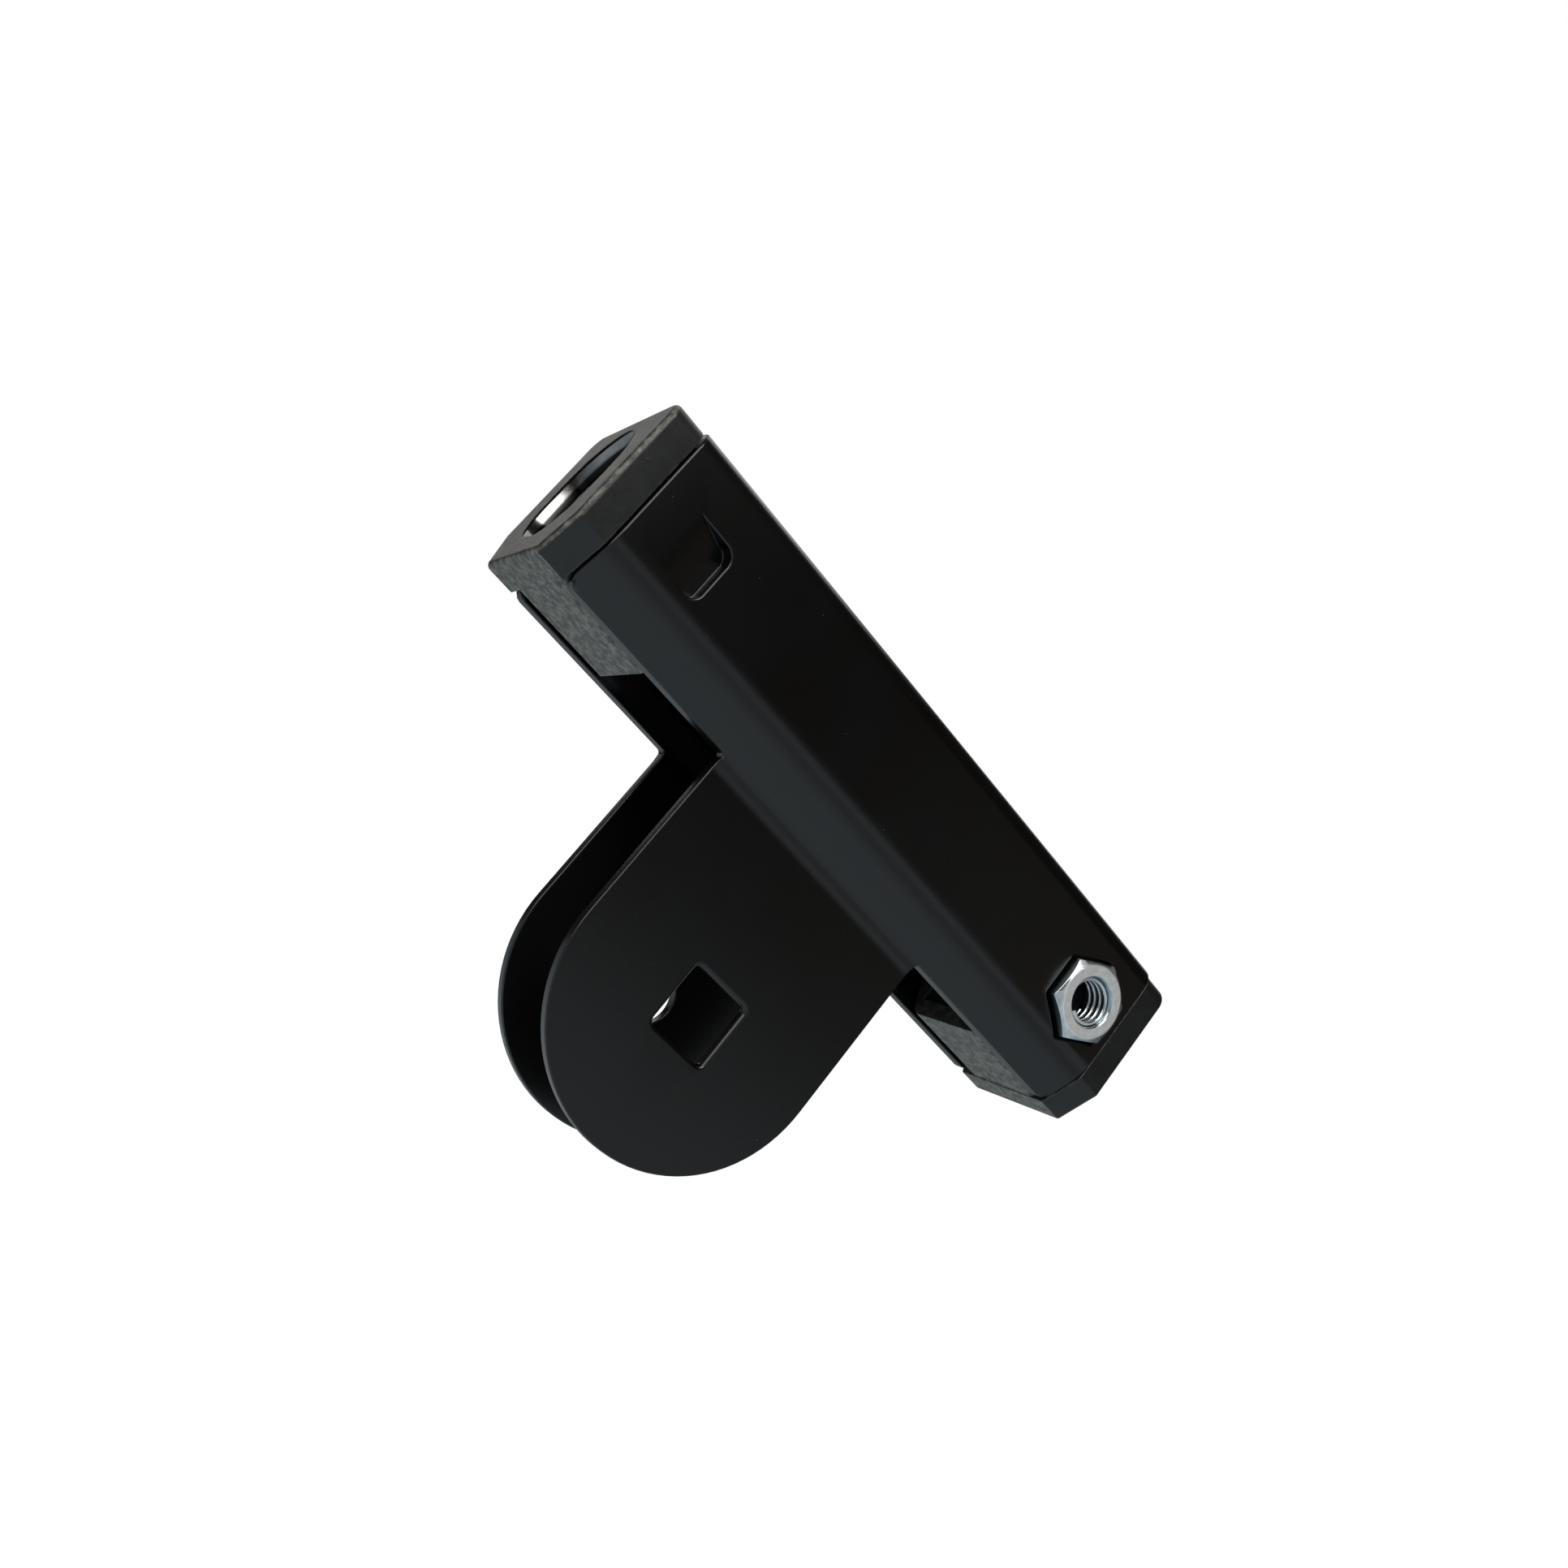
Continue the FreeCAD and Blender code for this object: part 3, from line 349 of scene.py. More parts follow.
# %% Scuff group
def scuff_group():
    inputs = {"Across X": 400.0, "Across Y": 3000.0, "Across Z": 3000.0,
              "Patch": 6 * MM, "Amount": 0.5}
    group, given, result = new_group("scuffs", inputs, ["Mask", "Patches"])
    stretch = add(group, "ShaderNodeCombineXYZ")
    for axis in ("X", "Y", "Z"):
        join(group, (given, "Across " + axis), (stretch, axis))
    spread = add(group, "ShaderNodeVectorMath", {"operation": "MULTIPLY"})
    join(group, object_place(group), (spread, 0))
    join(group, (stretch, 0), (spread, 1))
    streaks = add(group, "ShaderNodeTexNoise", Scale=1.0, Detail=3.0, Roughness=0.6)
    join(group, (spread, 0), (streaks, "Vector"))
    patches = noise(group, Detail=4.0, Roughness=0.65)
    join(group, math_node(group, "DIVIDE", 1.0, (given, "Patch")), (patches[0], "Scale"))
    broad = ramp(group, patches, 0.38, 0.66)
    sharp = ramp(group, (streaks, 0), 0.55, 0.68)
    both = scaled(group, sharp, broad)
    mask = math_node(group, "MULTIPLY", both, (given, "Amount"), clamp=True)
    join(group, mask, (result, "Mask"))
    join(group, broad, (result, "Patches"))
    return group


SCUFFS = scuff_group()

# %% [markdown]
# ### Worn edges
# Coating is thinnest and handling hardest along an edge. The Bevel node gives the normal that a
# rounded edge would have; where it differs from the true normal there is an edge, so the
# difference is the mask. A noise keeps the wear from looking like a drawn line.

# %% Edge group
def edge_group():
    group, given, result = new_group("worn_edges", {"Width": 0.4 * MM, "Patch": 3 * MM}, ["Mask"])
    soft = add(group, "ShaderNodeBevel", {"samples": 4})
    join(group, (given, "Width"), (soft, "Radius"))
    true = add(group, "ShaderNodeNewGeometry")
    same = add(group, "ShaderNodeVectorMath", {"operation": "DOT_PRODUCT"})
    join(group, (soft, "Normal"), (same, 0))
    join(group, (true, "Normal"), (same, 1))
    edge = ramp(group, math_node(group, "SUBTRACT", 1.0, (same, "Value")), 0.02, 0.2)
    patches = noise(group, Detail=3.0)
    join(group, math_node(group, "DIVIDE", 1.0, (given, "Patch")), (patches[0], "Scale"))
    join(group, scaled(group, edge, ramp(group, patches, 0.35, 0.65)), (result, "Mask"))
    return group


WORN_EDGES = edge_group()

# %% [markdown]
# ### Tool marks
# A turned part carries fine rings from the lathe, and a drawn one carries lines along its length.
# Both are a noise that varies in one direction only. For a turned part that direction is along the
# axle and outwards from it, so the group works out each point's distance from the axle's line.

# %% Turned group
def turned_group():
    inputs = {"Axle X": 0.0, "Axle Z": 0.0, "Pitch": 0.1 * MM}
    group, given, result = new_group("turned", inputs, ["Height"])
    split = add(group, "ShaderNodeSeparateXYZ")
    join(group, object_place(group), (split, 0))
    aside = math_node(group, "SUBTRACT", (split, "X"), (given, "Axle X"))
    above = math_node(group, "SUBTRACT", (split, "Z"), (given, "Axle Z"))
    flat = add(group, "ShaderNodeCombineXYZ")
    join(group, aside, (flat, "X"))
    join(group, above, (flat, "Y"))
    radius = add(group, "ShaderNodeVectorMath", {"operation": "LENGTH"})
    join(group, (flat, 0), (radius, 0))
    profile = add(group, "ShaderNodeCombineXYZ")
    join(group, (radius, "Value"), (profile, "X"))
    join(group, (split, "Y"), (profile, "Y"))
    lines = add(group, "ShaderNodeTexNoise", Detail=2.0, Roughness=0.6)
    join(group, (profile, 0), (lines, "Vector"))
    join(group, math_node(group, "DIVIDE", 1.0, (given, "Pitch")), (lines, "Scale"))
    join(group, (lines, 0), (result, "Height"))
    return group


TURNED = turned_group()
print("groups:", [group.name for group in bpy.data.node_groups])

# %% [markdown]
# ## Finishes
# Each finish starts from what the real one is: how dark it is, how smooth, how it wears. The
# numbers that are the same all over sit on the shader, and only what varies is linked. Two tones
# of a finish are usually parted by a noise, whose values crowd round a half, so a ramp over the
# middle of its range spreads them out.

# %% Finish helpers
MIDDLE_RANGE = (0.3, 0.7)
EDGE_WEAR = 0.35


def facing(tree):
    """The true normal's three parts, for a finish that depends on how a face lies."""
    true = add(tree, "ShaderNodeNewGeometry")
    split = add(tree, "ShaderNodeSeparateXYZ")
    join(tree, (true, "Normal"), (split, 0))
    return split


def bump(tree, shader, height, depth):
    """Turn a 0 to 1 height into relief of the given depth in metres."""
    node = add(tree, "ShaderNodeBump", Strength=1.0, Distance=depth)
    join(tree, height, (node, "Height"))
    join(tree, (node, "Normal"), (shader, "Normal"))


# %% [markdown]
# ### Black powder coat
# The steel channel is dipped and powder coated: a deep black, semi gloss, with a faint orange peel
# and a few specks of dust. Black paint still shows its coat because the clear surface mirrors what
# is pale around it, so the roughness matters more here than the colour.

# %% Powder coat
WARM_BLACK = (0.0016, 0.0012, 0.0009)
COLD_BLACK = (0.0018, 0.0018, 0.0019)
WORN_COAT = (0.045, 0.047, 0.050)
COAT_DUST = (0.22, 0.23, 0.25)
ORANGE_PEEL = 0.012 * MM


def powder_coat():
    material, tree, shader = new_material("black_powder_coat", IOR=1.5)
    grain = place_group(tree, GRAIN, Broad=1.1 * MM, Fine=0.22 * MM, Share=0.25)
    dust = place_group(tree, DUST, Spacing=2.6 * MM, Speck=0.035, Amount=0.22)
    edges = place_group(tree, WORN_EDGES, Width=0.4 * MM, Patch=4 * MM)
    broad = noise(tree, Scale=45.0, Detail=3.0)
    patch = ramp(tree, broad, *MIDDLE_RANGE)
    tone = blend(tree, patch, WARM_BLACK, COLD_BLACK)
    worn = blend(tree, scaled(tree, (edges, 0), EDGE_WEAR), tone, WORN_COAT)
    specked = blend(tree, scaled(tree, (dust, 0), 0.5), worn, COAT_DUST)
    join(tree, specked, (shader, "Base Color"))
    satin = span(tree, broad, 0.24, 0.29)
    rough = math_node(tree, "ADD", satin, scaled(tree, (dust, 0), 0.4), clamp=True)
    join(tree, rough, (shader, "Roughness"))
    bump(tree, shader, (grain, "Height"), ORANGE_PEEL)
    return material


# %% [markdown]
# ### Moulded black plastic
# The end cartridges are glass filled nylon: dark grey, matt, with the mould's fine spark grain.
# Their undersides and end faces are painted paler with a mottled painted light, standing for the light
# that falls on them from below and the left, and their rims get a painted highlight. Short scuffs are
# painted on the same faces.

# %% Painted light and scuffs by facing
# Painted light by facing: full on faces that look down, a share on the end faces, a painted highlight
# on the rim, none on the sides.
END_FACE_LIGHT_SHARE = 0.25
RIM_HIGHLIGHT_SHARE = 0.8
SIDEWAYS = (0.45, 0.80)
DOWNWARD = (0.3, 0.8)
RIM_HIGHLIGHT_TURN = (0.18, 0.42)


def painted_light_and_scuff_faces(tree):
    """Painted light and scuff share: 1 on faces that look down, less on faces along the cable, more on
    the rim between as a painted highlight, 0 on the sides.
    """
    normal = facing(tree)
    sideways = ramp(tree, math_node(tree, "ABSOLUTE", (normal, "Y")), *SIDEWAYS)
    down = ramp(tree, scaled(tree, (normal, "Z"), -1.0), *DOWNWARD)
    share = span(tree, down, END_FACE_LIGHT_SHARE, 1.0)
    face = scaled(tree, math_node(tree, "SUBTRACT", 1.0, sideways), share)
    turning = math_node(tree, "ABSOLUTE", scaled(tree, (normal, "X"), (normal, "Y")))
    rim = scaled(tree, ramp(tree, turning, *RIM_HIGHLIGHT_TURN), RIM_HIGHLIGHT_SHARE)
    return math_node(tree, "MAXIMUM", face, rim)


# %% Cap plastic
DARK_NYLON = (0.0080, 0.0085, 0.0090)
PALER_NYLON = (0.012, 0.0125, 0.0125)
# A pale grey painted on as light falling from below and the left, not the nylon's own colour.
PAINTED_LIGHT_GREY = (0.163, 0.151, 0.118)
SCUFFED_NYLON = (0.235, 0.225, 0.195)
WORN_NYLON = (0.12, 0.13, 0.14)
NYLON_DUST = (0.3, 0.3, 0.3)
SPARK_GRAIN = 0.03 * MM


def cap_plastic():
    material, tree, shader = new_material("black_moulded_nylon", IOR=1.42)
    grain = place_group(tree, GRAIN, Broad=0.6 * MM, Fine=0.16 * MM, Share=0.55)
    scuffs = place_group(tree, SCUFFS, Across_X=1100.0, Across_Y=2600.0, Across_Z=2600.0,
                         Patch=1.6 * MM, Amount=0.9)
    light_and_scuff_share = painted_light_and_scuff_faces(tree)
    dust = place_group(tree, DUST, Spacing=2.2 * MM, Speck=0.05, Amount=0.25)
    edges = place_group(tree, WORN_EDGES, Width=0.8 * MM, Patch=2.2 * MM)
    broad = noise(tree, Scale=160.0, Detail=5.0, Roughness=0.65)
    patch = ramp(tree, broad, *MIDDLE_RANGE)
    tone = blend(tree, patch, DARK_NYLON, PALER_NYLON)
    painted_light_mottle = span(tree, (scuffs, "Patches"), 0.12, 0.97)
    # Painted light: a paler mottled grey on faces that look down, on the end faces and as a painted
    # highlight on the rim.
    painted_lit = blend(tree, scaled(tree, painted_light_mottle, light_and_scuff_share), tone, PAINTED_LIGHT_GREY)
    scuff = scaled(tree, (scuffs, "Mask"), light_and_scuff_share)
    scuffed = blend(tree, scuff, painted_lit, SCUFFED_NYLON)
    worn = blend(tree, scaled(tree, (edges, 0), EDGE_WEAR), scuffed, WORN_NYLON)
    specked = blend(tree, scaled(tree, (dust, 0), 0.6), worn, NYLON_DUST)
    join(tree, specked, (shader, "Base Color"))
    matt = span(tree, broad, 0.30, 0.46)
    rough = math_node(tree, "ADD", matt, scaled(tree, (scuffs, 0), 0.15))
    join(tree, rough, (shader, "Roughness"))
    bump(tree, shader, (grain, "Height"), SPARK_GRAIN)
    return material


# %% [markdown]
# ### Bright steels
# Rollers, bearing rings and axles are turned or ground, and keep faint rings round their axle. The
# shields are pressed and have none. A metal's colour is its base colour, and its roughness says how
# it was made, so these share one function and differ in a few numbers.

# %% Metals
def metal(name, bright, dull, smooth, coarse, axle=None, relief=0.004 * MM, pitch=0.12 * MM):
    """Bright metal between two colours and two roughnesses; an axle gives it rings from the lathe."""
    material, tree, shader = new_material(name, Metallic=1.0)
    patch = ramp(tree, noise(tree, Scale=500.0, Detail=4.0, Roughness=0.6), *MIDDLE_RANGE)
    edges = place_group(tree, WORN_EDGES, Width=0.3 * MM, Patch=1 * MM)
    tone = blend(tree, patch, bright, dull)
    polished = blend(tree, scaled(tree, (edges, 0), 0.5), tone, bright)
    join(tree, polished, (shader, "Base Color"))
    join(tree, span(tree, patch, smooth, coarse), (shader, "Roughness"))
    if axle is None:
        marks = place_group(tree, GRAIN, Broad=0.5 * MM, Fine=pitch, Share=0.5)
    else:
        marks = place_group(tree, TURNED, Axle_X=axle[0], Axle_Z=axle[2], Pitch=pitch)
    bump(tree, shader, (marks, "Height"), relief)
    return material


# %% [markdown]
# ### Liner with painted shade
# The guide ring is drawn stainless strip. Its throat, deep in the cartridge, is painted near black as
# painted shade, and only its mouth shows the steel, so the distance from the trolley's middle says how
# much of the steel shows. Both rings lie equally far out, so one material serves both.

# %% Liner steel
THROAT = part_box("guide_ring_front")[0].x
PAINTED_SHADE_TO = THROAT + 1.1 * MM
STEEL_SHOWN_FROM = THROAT + 1.7 * MM
BARE_STEEL = (0.26, 0.26, 0.25)
STAINED_STEEL = (0.15, 0.15, 0.15)
PAINTED_THROAT_SHADE = (0.012, 0.012, 0.011)
ROLLING_MARKS = 0.0005 * MM


def liner_with_painted_shade():
    material, tree, shader = new_material("drawn_stainless", Metallic=1.0)
    patch = ramp(tree, noise(tree, Scale=260.0, Detail=4.0, Roughness=0.6), *MIDDLE_RANGE)
    split = add(tree, "ShaderNodeSeparateXYZ")
    join(tree, object_place(tree), (split, 0))
    outside_painted_shade = ramp(tree, math_node(tree, "ABSOLUTE", (split, "X")), PAINTED_SHADE_TO, STEEL_SHOWN_FROM)
    steel = blend(tree, patch, BARE_STEEL, STAINED_STEEL)
    # Painted shade: near black in the throat, the steel's own colour only towards the mouth.
    join(tree, blend(tree, outside_painted_shade, PAINTED_THROAT_SHADE, steel), (shader, "Base Color"))
    join(tree, span(tree, patch, 0.12, 0.22), (shader, "Roughness"))
    marks = place_group(tree, GRAIN, Broad=0.5 * MM, Fine=0.12 * MM, Share=0.5)
    bump(tree, shader, (marks, "Height"), ROLLING_MARKS)
    return material


# %% [markdown]
# ### Zinc plate
# A nut is cut from drawn hexagon bar. Its flats keep the bar's smooth skin and mirror what is
# around them, while its two faces are turned and take the plating cloudy, so they scatter light and
# look almost white. One material can hold both: how squarely the surface looks along the nut's axis
# decides between them.

# %% Zinc
SQUARE_ON = (0.78, 0.96)
BAR_SKIN = (0.52, 0.57, 0.60)
DULL_SKIN = (0.40, 0.45, 0.48)
CLOUDY_FACE = (0.90, 0.90, 0.89)
DULL_FACE = (0.70, 0.72, 0.73)
PLATING_GRAIN = 0.001 * MM


def zinc_plate():
    material, tree, shader = new_material("bright_zinc", IOR=1.5)
    patch = ramp(tree, noise(tree, Scale=700.0, Detail=4.0, Roughness=0.6), *MIDDLE_RANGE)
    turned_face = ramp(tree, math_node(tree, "ABSOLUTE", (facing(tree), "Y")), *SQUARE_ON)
    skin = blend(tree, patch, BAR_SKIN, DULL_SKIN)
    cloudy = blend(tree, patch, CLOUDY_FACE, DULL_FACE)
    join(tree, blend(tree, turned_face, skin, cloudy), (shader, "Base Color"))
    join(tree, span(tree, turned_face, 1.0, 0.55), (shader, "Metallic"))
    coarse = span(tree, turned_face, 0.14, 0.32)
    rough = math_node(tree, "ADD", coarse, scaled(tree, patch, 0.08))
    join(tree, rough, (shader, "Roughness"))
    marks = place_group(tree, GRAIN, Broad=0.5 * MM, Fine=0.12 * MM, Share=0.5)
    bump(tree, shader, (marks, "Height"), PLATING_GRAIN)
    return material


# %% [markdown]
# ### Nylon cages
# The cages that space the balls are natural glass filled nylon, a warm cream that lets a little
# light through. They hardly show, but the part can be opened, so they get their own finish.

# %% Nylon
AMBER = (0.50, 0.38, 0.22)
CREAM = (0.62, 0.50, 0.32)
CAGE_GRAIN = 0.01 * MM


def cage_nylon():
    material, tree, shader = new_material("natural_nylon", Subsurface_Weight=0.15)
    grain = place_group(tree, GRAIN, Broad=0.4 * MM, Fine=0.1 * MM, Share=0.5)
    tone = blend(tree, (grain, "Height"), AMBER, CREAM)
    join(tree, tone, (shader, "Base Color"))
    join(tree, span(tree, (grain, "Height"), 0.4, 0.6), (shader, "Roughness"))
    bump(tree, shader, (grain, "Height"), CAGE_GRAIN)
    return material


# %% Make the finishes
COAT = powder_coat()
PLASTIC = cap_plastic()
LINER = liner_with_painted_shade()
ZINC = zinc_plate()
SHIELD = metal("pressed_shield", (0.55, 0.55, 0.54), (0.40, 0.40, 0.40), 0.22, 0.35)
NYLON = cage_nylon()
print("finishes:", len(bpy.data.materials))

# %% [markdown]
# ## Pieces from the CAD shells
# The housing and the caps are right in shape but have razor edges, and a real sheet or moulding
# never has: the tiny round on an edge is what catches the light. The shell is copied, its loose
# triangles are merged, its flat faces are made whole, and a Bevel modifier rounds what is sharp.
# Weighted normals then keep the flats flat beside the rounds.

# %% Shell helpers
MERGE = 1e-6
FLAT = math.radians(0.8)
SHARP = math.radians(32)
FLAT_FACE_WEIGHT = 80


def link_piece(name, mesh, finish, body, slot_name, *nodes):
    """Put a mesh in the scene as a finished piece that stands for CAD nodes and rides on a body."""
    piece = bpy.data.objects.new(name, mesh)
    bpy.context.scene.collection.objects.link(piece)
    mesh.materials.clear()
    mesh.materials.append(finish)
    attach(piece, body)
    if nodes:
        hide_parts(*nodes)
    return piece


def round_edges(piece, size, segments, limit_method):
    """Round the edges of a piece and keep its flats flat; returns the Bevel modifier."""
    rounding = piece.modifiers.new("rounded_edges", "BEVEL")
    rounding.width = size
    rounding.segments = segments
    rounding.limit_method = limit_method
    weighting = piece.modifiers.new("flat_faces", "WEIGHTED_NORMAL")
    weighting.weight = FLAT_FACE_WEIGHT
    return rounding


def rounded_shell(node, name, finish, slot_name, round_size, share=lambda place: 1.0, segments=2):
    """Round each sharp edge by round_size times the share that its place gets."""
    shell = bmesh.new()
    shell.from_mesh(frame["nodes"][node].data)
    bmesh.ops.remove_doubles(shell, verts=shell.verts, dist=MERGE)
    bmesh.ops.dissolve_limit(shell, angle_limit=FLAT, verts=shell.verts, edges=shell.edges)
    weight = shell.edges.layers.float.new("bevel_weight_edge")
    for edge in shell.edges:
        if edge.calc_face_angle(0.0) > SHARP:
            edge[weight] = share((edge.verts[0].co + edge.verts[1].co) / 2)
    mesh = bpy.data.meshes.new(name)
    shell.to_mesh(mesh)
    shell.free()
    mesh.shade_smooth()
    piece = link_piece(name, mesh, finish, "root", slot_name, node)
    rounding = round_edges(piece, round_size, segments, "WEIGHT")
    rounding.use_clamp_overlap = False
    rounding.miter_outer = "MITER_ARC"
    print(name, "faces", len(mesh.polygons))


# %% [markdown]
# A hole that is punched has one soft edge: the punch drags the sheet in with it before it shears,
# which leaves a broad roll where it went in. The square hole in the near lobe shows that side, so
# its rim gets the whole rounding, and the sheared edges elsewhere less than half of it.

# %% Housing
PUNCH_ROLL = 0.95 * MM
SHEARED_SHARE = 0.42
hole = next(mount for mount in frame["record"]["mounts"] if mount["name"] == "hanger_bolt_hole")
hole_place = Vector(hole["pos_m"])
HOLE_REACH = 9.6 * MM
lobe_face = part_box("housing")[0].y / 2


def punched_or_sheared(place):
    """The share of the rounding: whole on the near rim of the square hole."""
    beside = Vector((place.x - hole_place.x, 0.0, place.z - hole_place.z)).length
    rim = beside < HOLE_REACH and place.y < lobe_face
    return 1.0 if rim else SHEARED_SHARE


rounded_shell("housing", "folded_housing", COAT, "housing_coat", PUNCH_ROLL, punched_or_sheared,
              segments=3)

# %% [markdown]
# A moulding's edges are crisper than the coated sheet's and all alike, because its mould was cut
# with one small cutter, so the caps get one small rounding everywhere.

# %% End caps
MOULD_ROUND = 0.18 * MM

for end in ("front", "rear"):
    rounded_shell("end_cap_" + end, "end_cartridge_" + end, PLASTIC, "cap_plastic", MOULD_ROUND)

# %% [markdown]
# ## Lock nuts
# An M10 nut sits loose in a hexagonal hole in the wall, held by the cartridge behind. Its shape
# follows two rules. The outside is a hexagon whose points are taken off by a cone at each face,
# and the bore carries a thread. The body is a grid of rings round the axis: each ring's radius and
# depth come from the rule, so the chamfer's curve across each flat is exact.

# %% Nut body
NUT_STEPS = 144
SIXTH_TURN = math.radians(60)
CHAMFER = math.radians(30)
FACE_SHARE = 0.92
THREAD_PITCH = 1.5 * MM
THREAD_ROOT = 5.05 * MM
SINK_RADIUS = 5.4 * MM


def hexagon_radius(angle, half_flats):
    """Distance from the axis to a hexagon with a point at angle 90 degrees."""
    turned = (angle - SIXTH_TURN / 2) % SIXTH_TURN - SIXTH_TURN / 2
    return half_flats / math.cos(turned)


def nut_rings(half_flats, thick):
    """Each ring is a rule from angle to (radius, depth); together they go once round the section."""
    start = half_flats * FACE_SHARE

    def corner(angle):
        radius = hexagon_radius(angle, half_flats)
        return radius, (radius - start) * math.tan(CHAMFER)

    sink = SINK_RADIUS - THREAD_ROOT
    return [
        lambda angle: (THREAD_ROOT, sink),
        lambda angle: (SINK_RADIUS, 0.0),
        lambda angle: (start, 0.0),
        corner,
        lambda angle: (corner(angle)[0], thick - corner(angle)[1]),
        lambda angle: (start, thick),
        lambda angle: (SINK_RADIUS, thick),
        lambda angle: (THREAD_ROOT, thick - sink),
    ]


def nut_body(name, centre, half_flats, thick, outward):
    """The nut about the Y axis, its outer face at centre, outward +1 or -1 along Y."""
    shape = bmesh.new()
    rings = []
    for rule in nut_rings(half_flats, thick):
        ring = []
        for step in range(NUT_STEPS):
            angle = 2 * math.pi * step / NUT_STEPS
            radius, depth = rule(angle)
            offset = Vector((radius * math.cos(angle), -outward * depth, radius * math.sin(angle)))
            ring.append(shape.verts.new(centre + offset))
        rings.append(ring)
    for index, ring in enumerate(rings):
        following = rings[(index + 1) % len(rings)]
        for step in range(NUT_STEPS):
            ahead = (step + 1) % NUT_STEPS
            shape.faces.new((ring[step], ring[ahead], following[ahead], following[step]))
    bmesh.ops.recalc_face_normals(shape, faces=shape.faces)
    mesh = bpy.data.meshes.new(name)
    shape.to_mesh(mesh)
    shape.free()
    mesh.shade_smooth()
    return mesh


# %% [markdown]
# ## Threads
# A thread is one ridge wound along a helix. It could be a Screw modifier on a drawn profile, but
# Geometry Nodes keep it open to change: a spiral curve, a trapezium swept along it, and named
# inputs for pitch, radius, turns and depth. The tree turns the helix onto the nut's axis, and ends
# with the finish set, so the result is a plain closed mesh.

# %% Tree helpers
def shape_tree(name, sizes, counts=None):
    """A Geometry Nodes tree with float and whole inputs {name: default}, a place and a rotation."""
    tree = bpy.data.node_groups.new(name, "GeometryNodeTree")
    for kind, values in (("NodeSocketFloat", sizes), ("NodeSocketInt", counts or {})):
        for label, value in values.items():
            socket = tree.interface.new_socket(name=label, in_out="INPUT", socket_type=kind)
            socket.default_value = value
    for label in ("Place", "Rotation"):
        tree.interface.new_socket(name=label, in_out="INPUT", socket_type="NodeSocketVector")
    tree.interface.new_socket(name="Mesh", in_out="OUTPUT", socket_type="NodeSocketGeometry")
    return tree, add(tree, "NodeGroupInput")


def hand_over(tree, given, shape, finish):
    """Put the shape in its place, make it real, give it its finish and send it out of the tree."""
    placed = add(tree, "GeometryNodeTransform")
    join(tree, shape, (placed, "Geometry"))
    join(tree, (given, "Place"), (placed, "Translation"))
    join(tree, (given, "Rotation"), (placed, "Rotation"))
    real = add(tree, "GeometryNodeRealizeInstances")
    join(tree, (placed, 0), (real, "Geometry"))
    dressed = add(tree, "GeometryNodeSetMaterial", Material=finish)
    join(tree, (real, 0), (dressed, "Geometry"))
    join(tree, (dressed, 0), (add(tree, "NodeGroupOutput"), "Mesh"))


def grown(tree, name, **values):
    """Evaluate a tree once with these inputs and keep the result as a plain mesh."""
    seed_mesh = bpy.data.meshes.new(name + "_seed")
    holder = bpy.data.objects.new(name + "_holder", seed_mesh)
    bpy.context.scene.collection.objects.link(holder)
    modifier = holder.modifiers.new("grow", "NODES")
    modifier.node_group = tree
    for item in tree.interface.items_tree:
        if item.item_type == "SOCKET" and item.in_out == "INPUT" and item.name in values:
            modifier[item.identifier] = values[item.name]
    bpy.context.view_layer.update()
    mesh = bpy.data.meshes.new_from_object(holder.evaluated_get(bpy.context.evaluated_depsgraph_get()))
    mesh.name = name
    bpy.data.objects.remove(holder)
    bpy.data.meshes.remove(seed_mesh)
    return mesh


# %% [markdown]
# The ridge is nearly as wide at its foot as the pitch, so that neighbouring turns almost meet, and
# narrow at its crest. Both widths are shares of the pitch and follow it when it changes.

# %% Thread tree
RIDGE_FOOT = 0.88
RIDGE_CREST = 0.16
TURN_STEPS = 72


def thread_tree(finish):
    sizes = {"Pitch": 1.5 * MM, "Radius": 5 * MM, "Turns": 4.0, "Depth": 0.8 * MM}
    tree, given = shape_tree("helical_thread", sizes)
    spiral = add(tree, "GeometryNodeCurveSpiral", Resolution=TURN_STEPS)
    height = scaled(tree, (given, "Pitch"), (given, "Turns"))
    join(tree, (given, "Turns"), (spiral, "Rotations"))
    join(tree, (given, "Radius"), (spiral, "Start Radius"))
    join(tree, (given, "Radius"), (spiral, "End Radius"))
    join(tree, height, (spiral, "Height"))
    upright = add(tree, "GeometryNodeSetCurveNormal", {"mode": "Z_UP"})
    join(tree, (spiral, 0), (upright, "Curve"))
    ridge = add(tree, "GeometryNodeCurvePrimitiveQuadrilateral", {"mode": "TRAPEZOID"}, Offset=0.0)
    join(tree, (given, "Depth"), (ridge, "Height"))
    join(tree, scaled(tree, (given, "Pitch"), RIDGE_FOOT), (ridge, "Bottom Width"))
    join(tree, scaled(tree, (given, "Pitch"), RIDGE_CREST), (ridge, "Top Width"))
    lean = add(tree, "GeometryNodeTransform", Rotation=(0.0, 0.0, math.radians(90)))
    join(tree, (ridge, 0), (lean, "Geometry"))
    sweep = add(tree, "GeometryNodeCurveToMesh", Fill_Caps=True)
    join(tree, (upright, 0), (sweep, "Curve"))
    join(tree, (lean, 0), (sweep, "Profile Curve"))
    middle = add(tree, "ShaderNodeCombineXYZ")
    join(tree, scaled(tree, height, -0.5), (middle, "Z"))
    centred = add(tree, "GeometryNodeTransform")
    join(tree, (sweep, 0), (centred, "Geometry"))
    join(tree, (middle, 0), (centred, "Translation"))
    hand_over(tree, given, (centred, 0), finish)
    return tree


THREAD = thread_tree(ZINC)

# %% [markdown]
# The nut's size and place come from the CAD nut's box. Its height is measured across two points,
# so half of it times the cosine of 30 degrees is half the width across flats.

# %% Nuts
THREAD_DEPTH = 0.85 * MM
RIDGE_SINKS = 0.4
NUT_ROUND = 0.12 * MM
NUT_CREASE = math.radians(24)

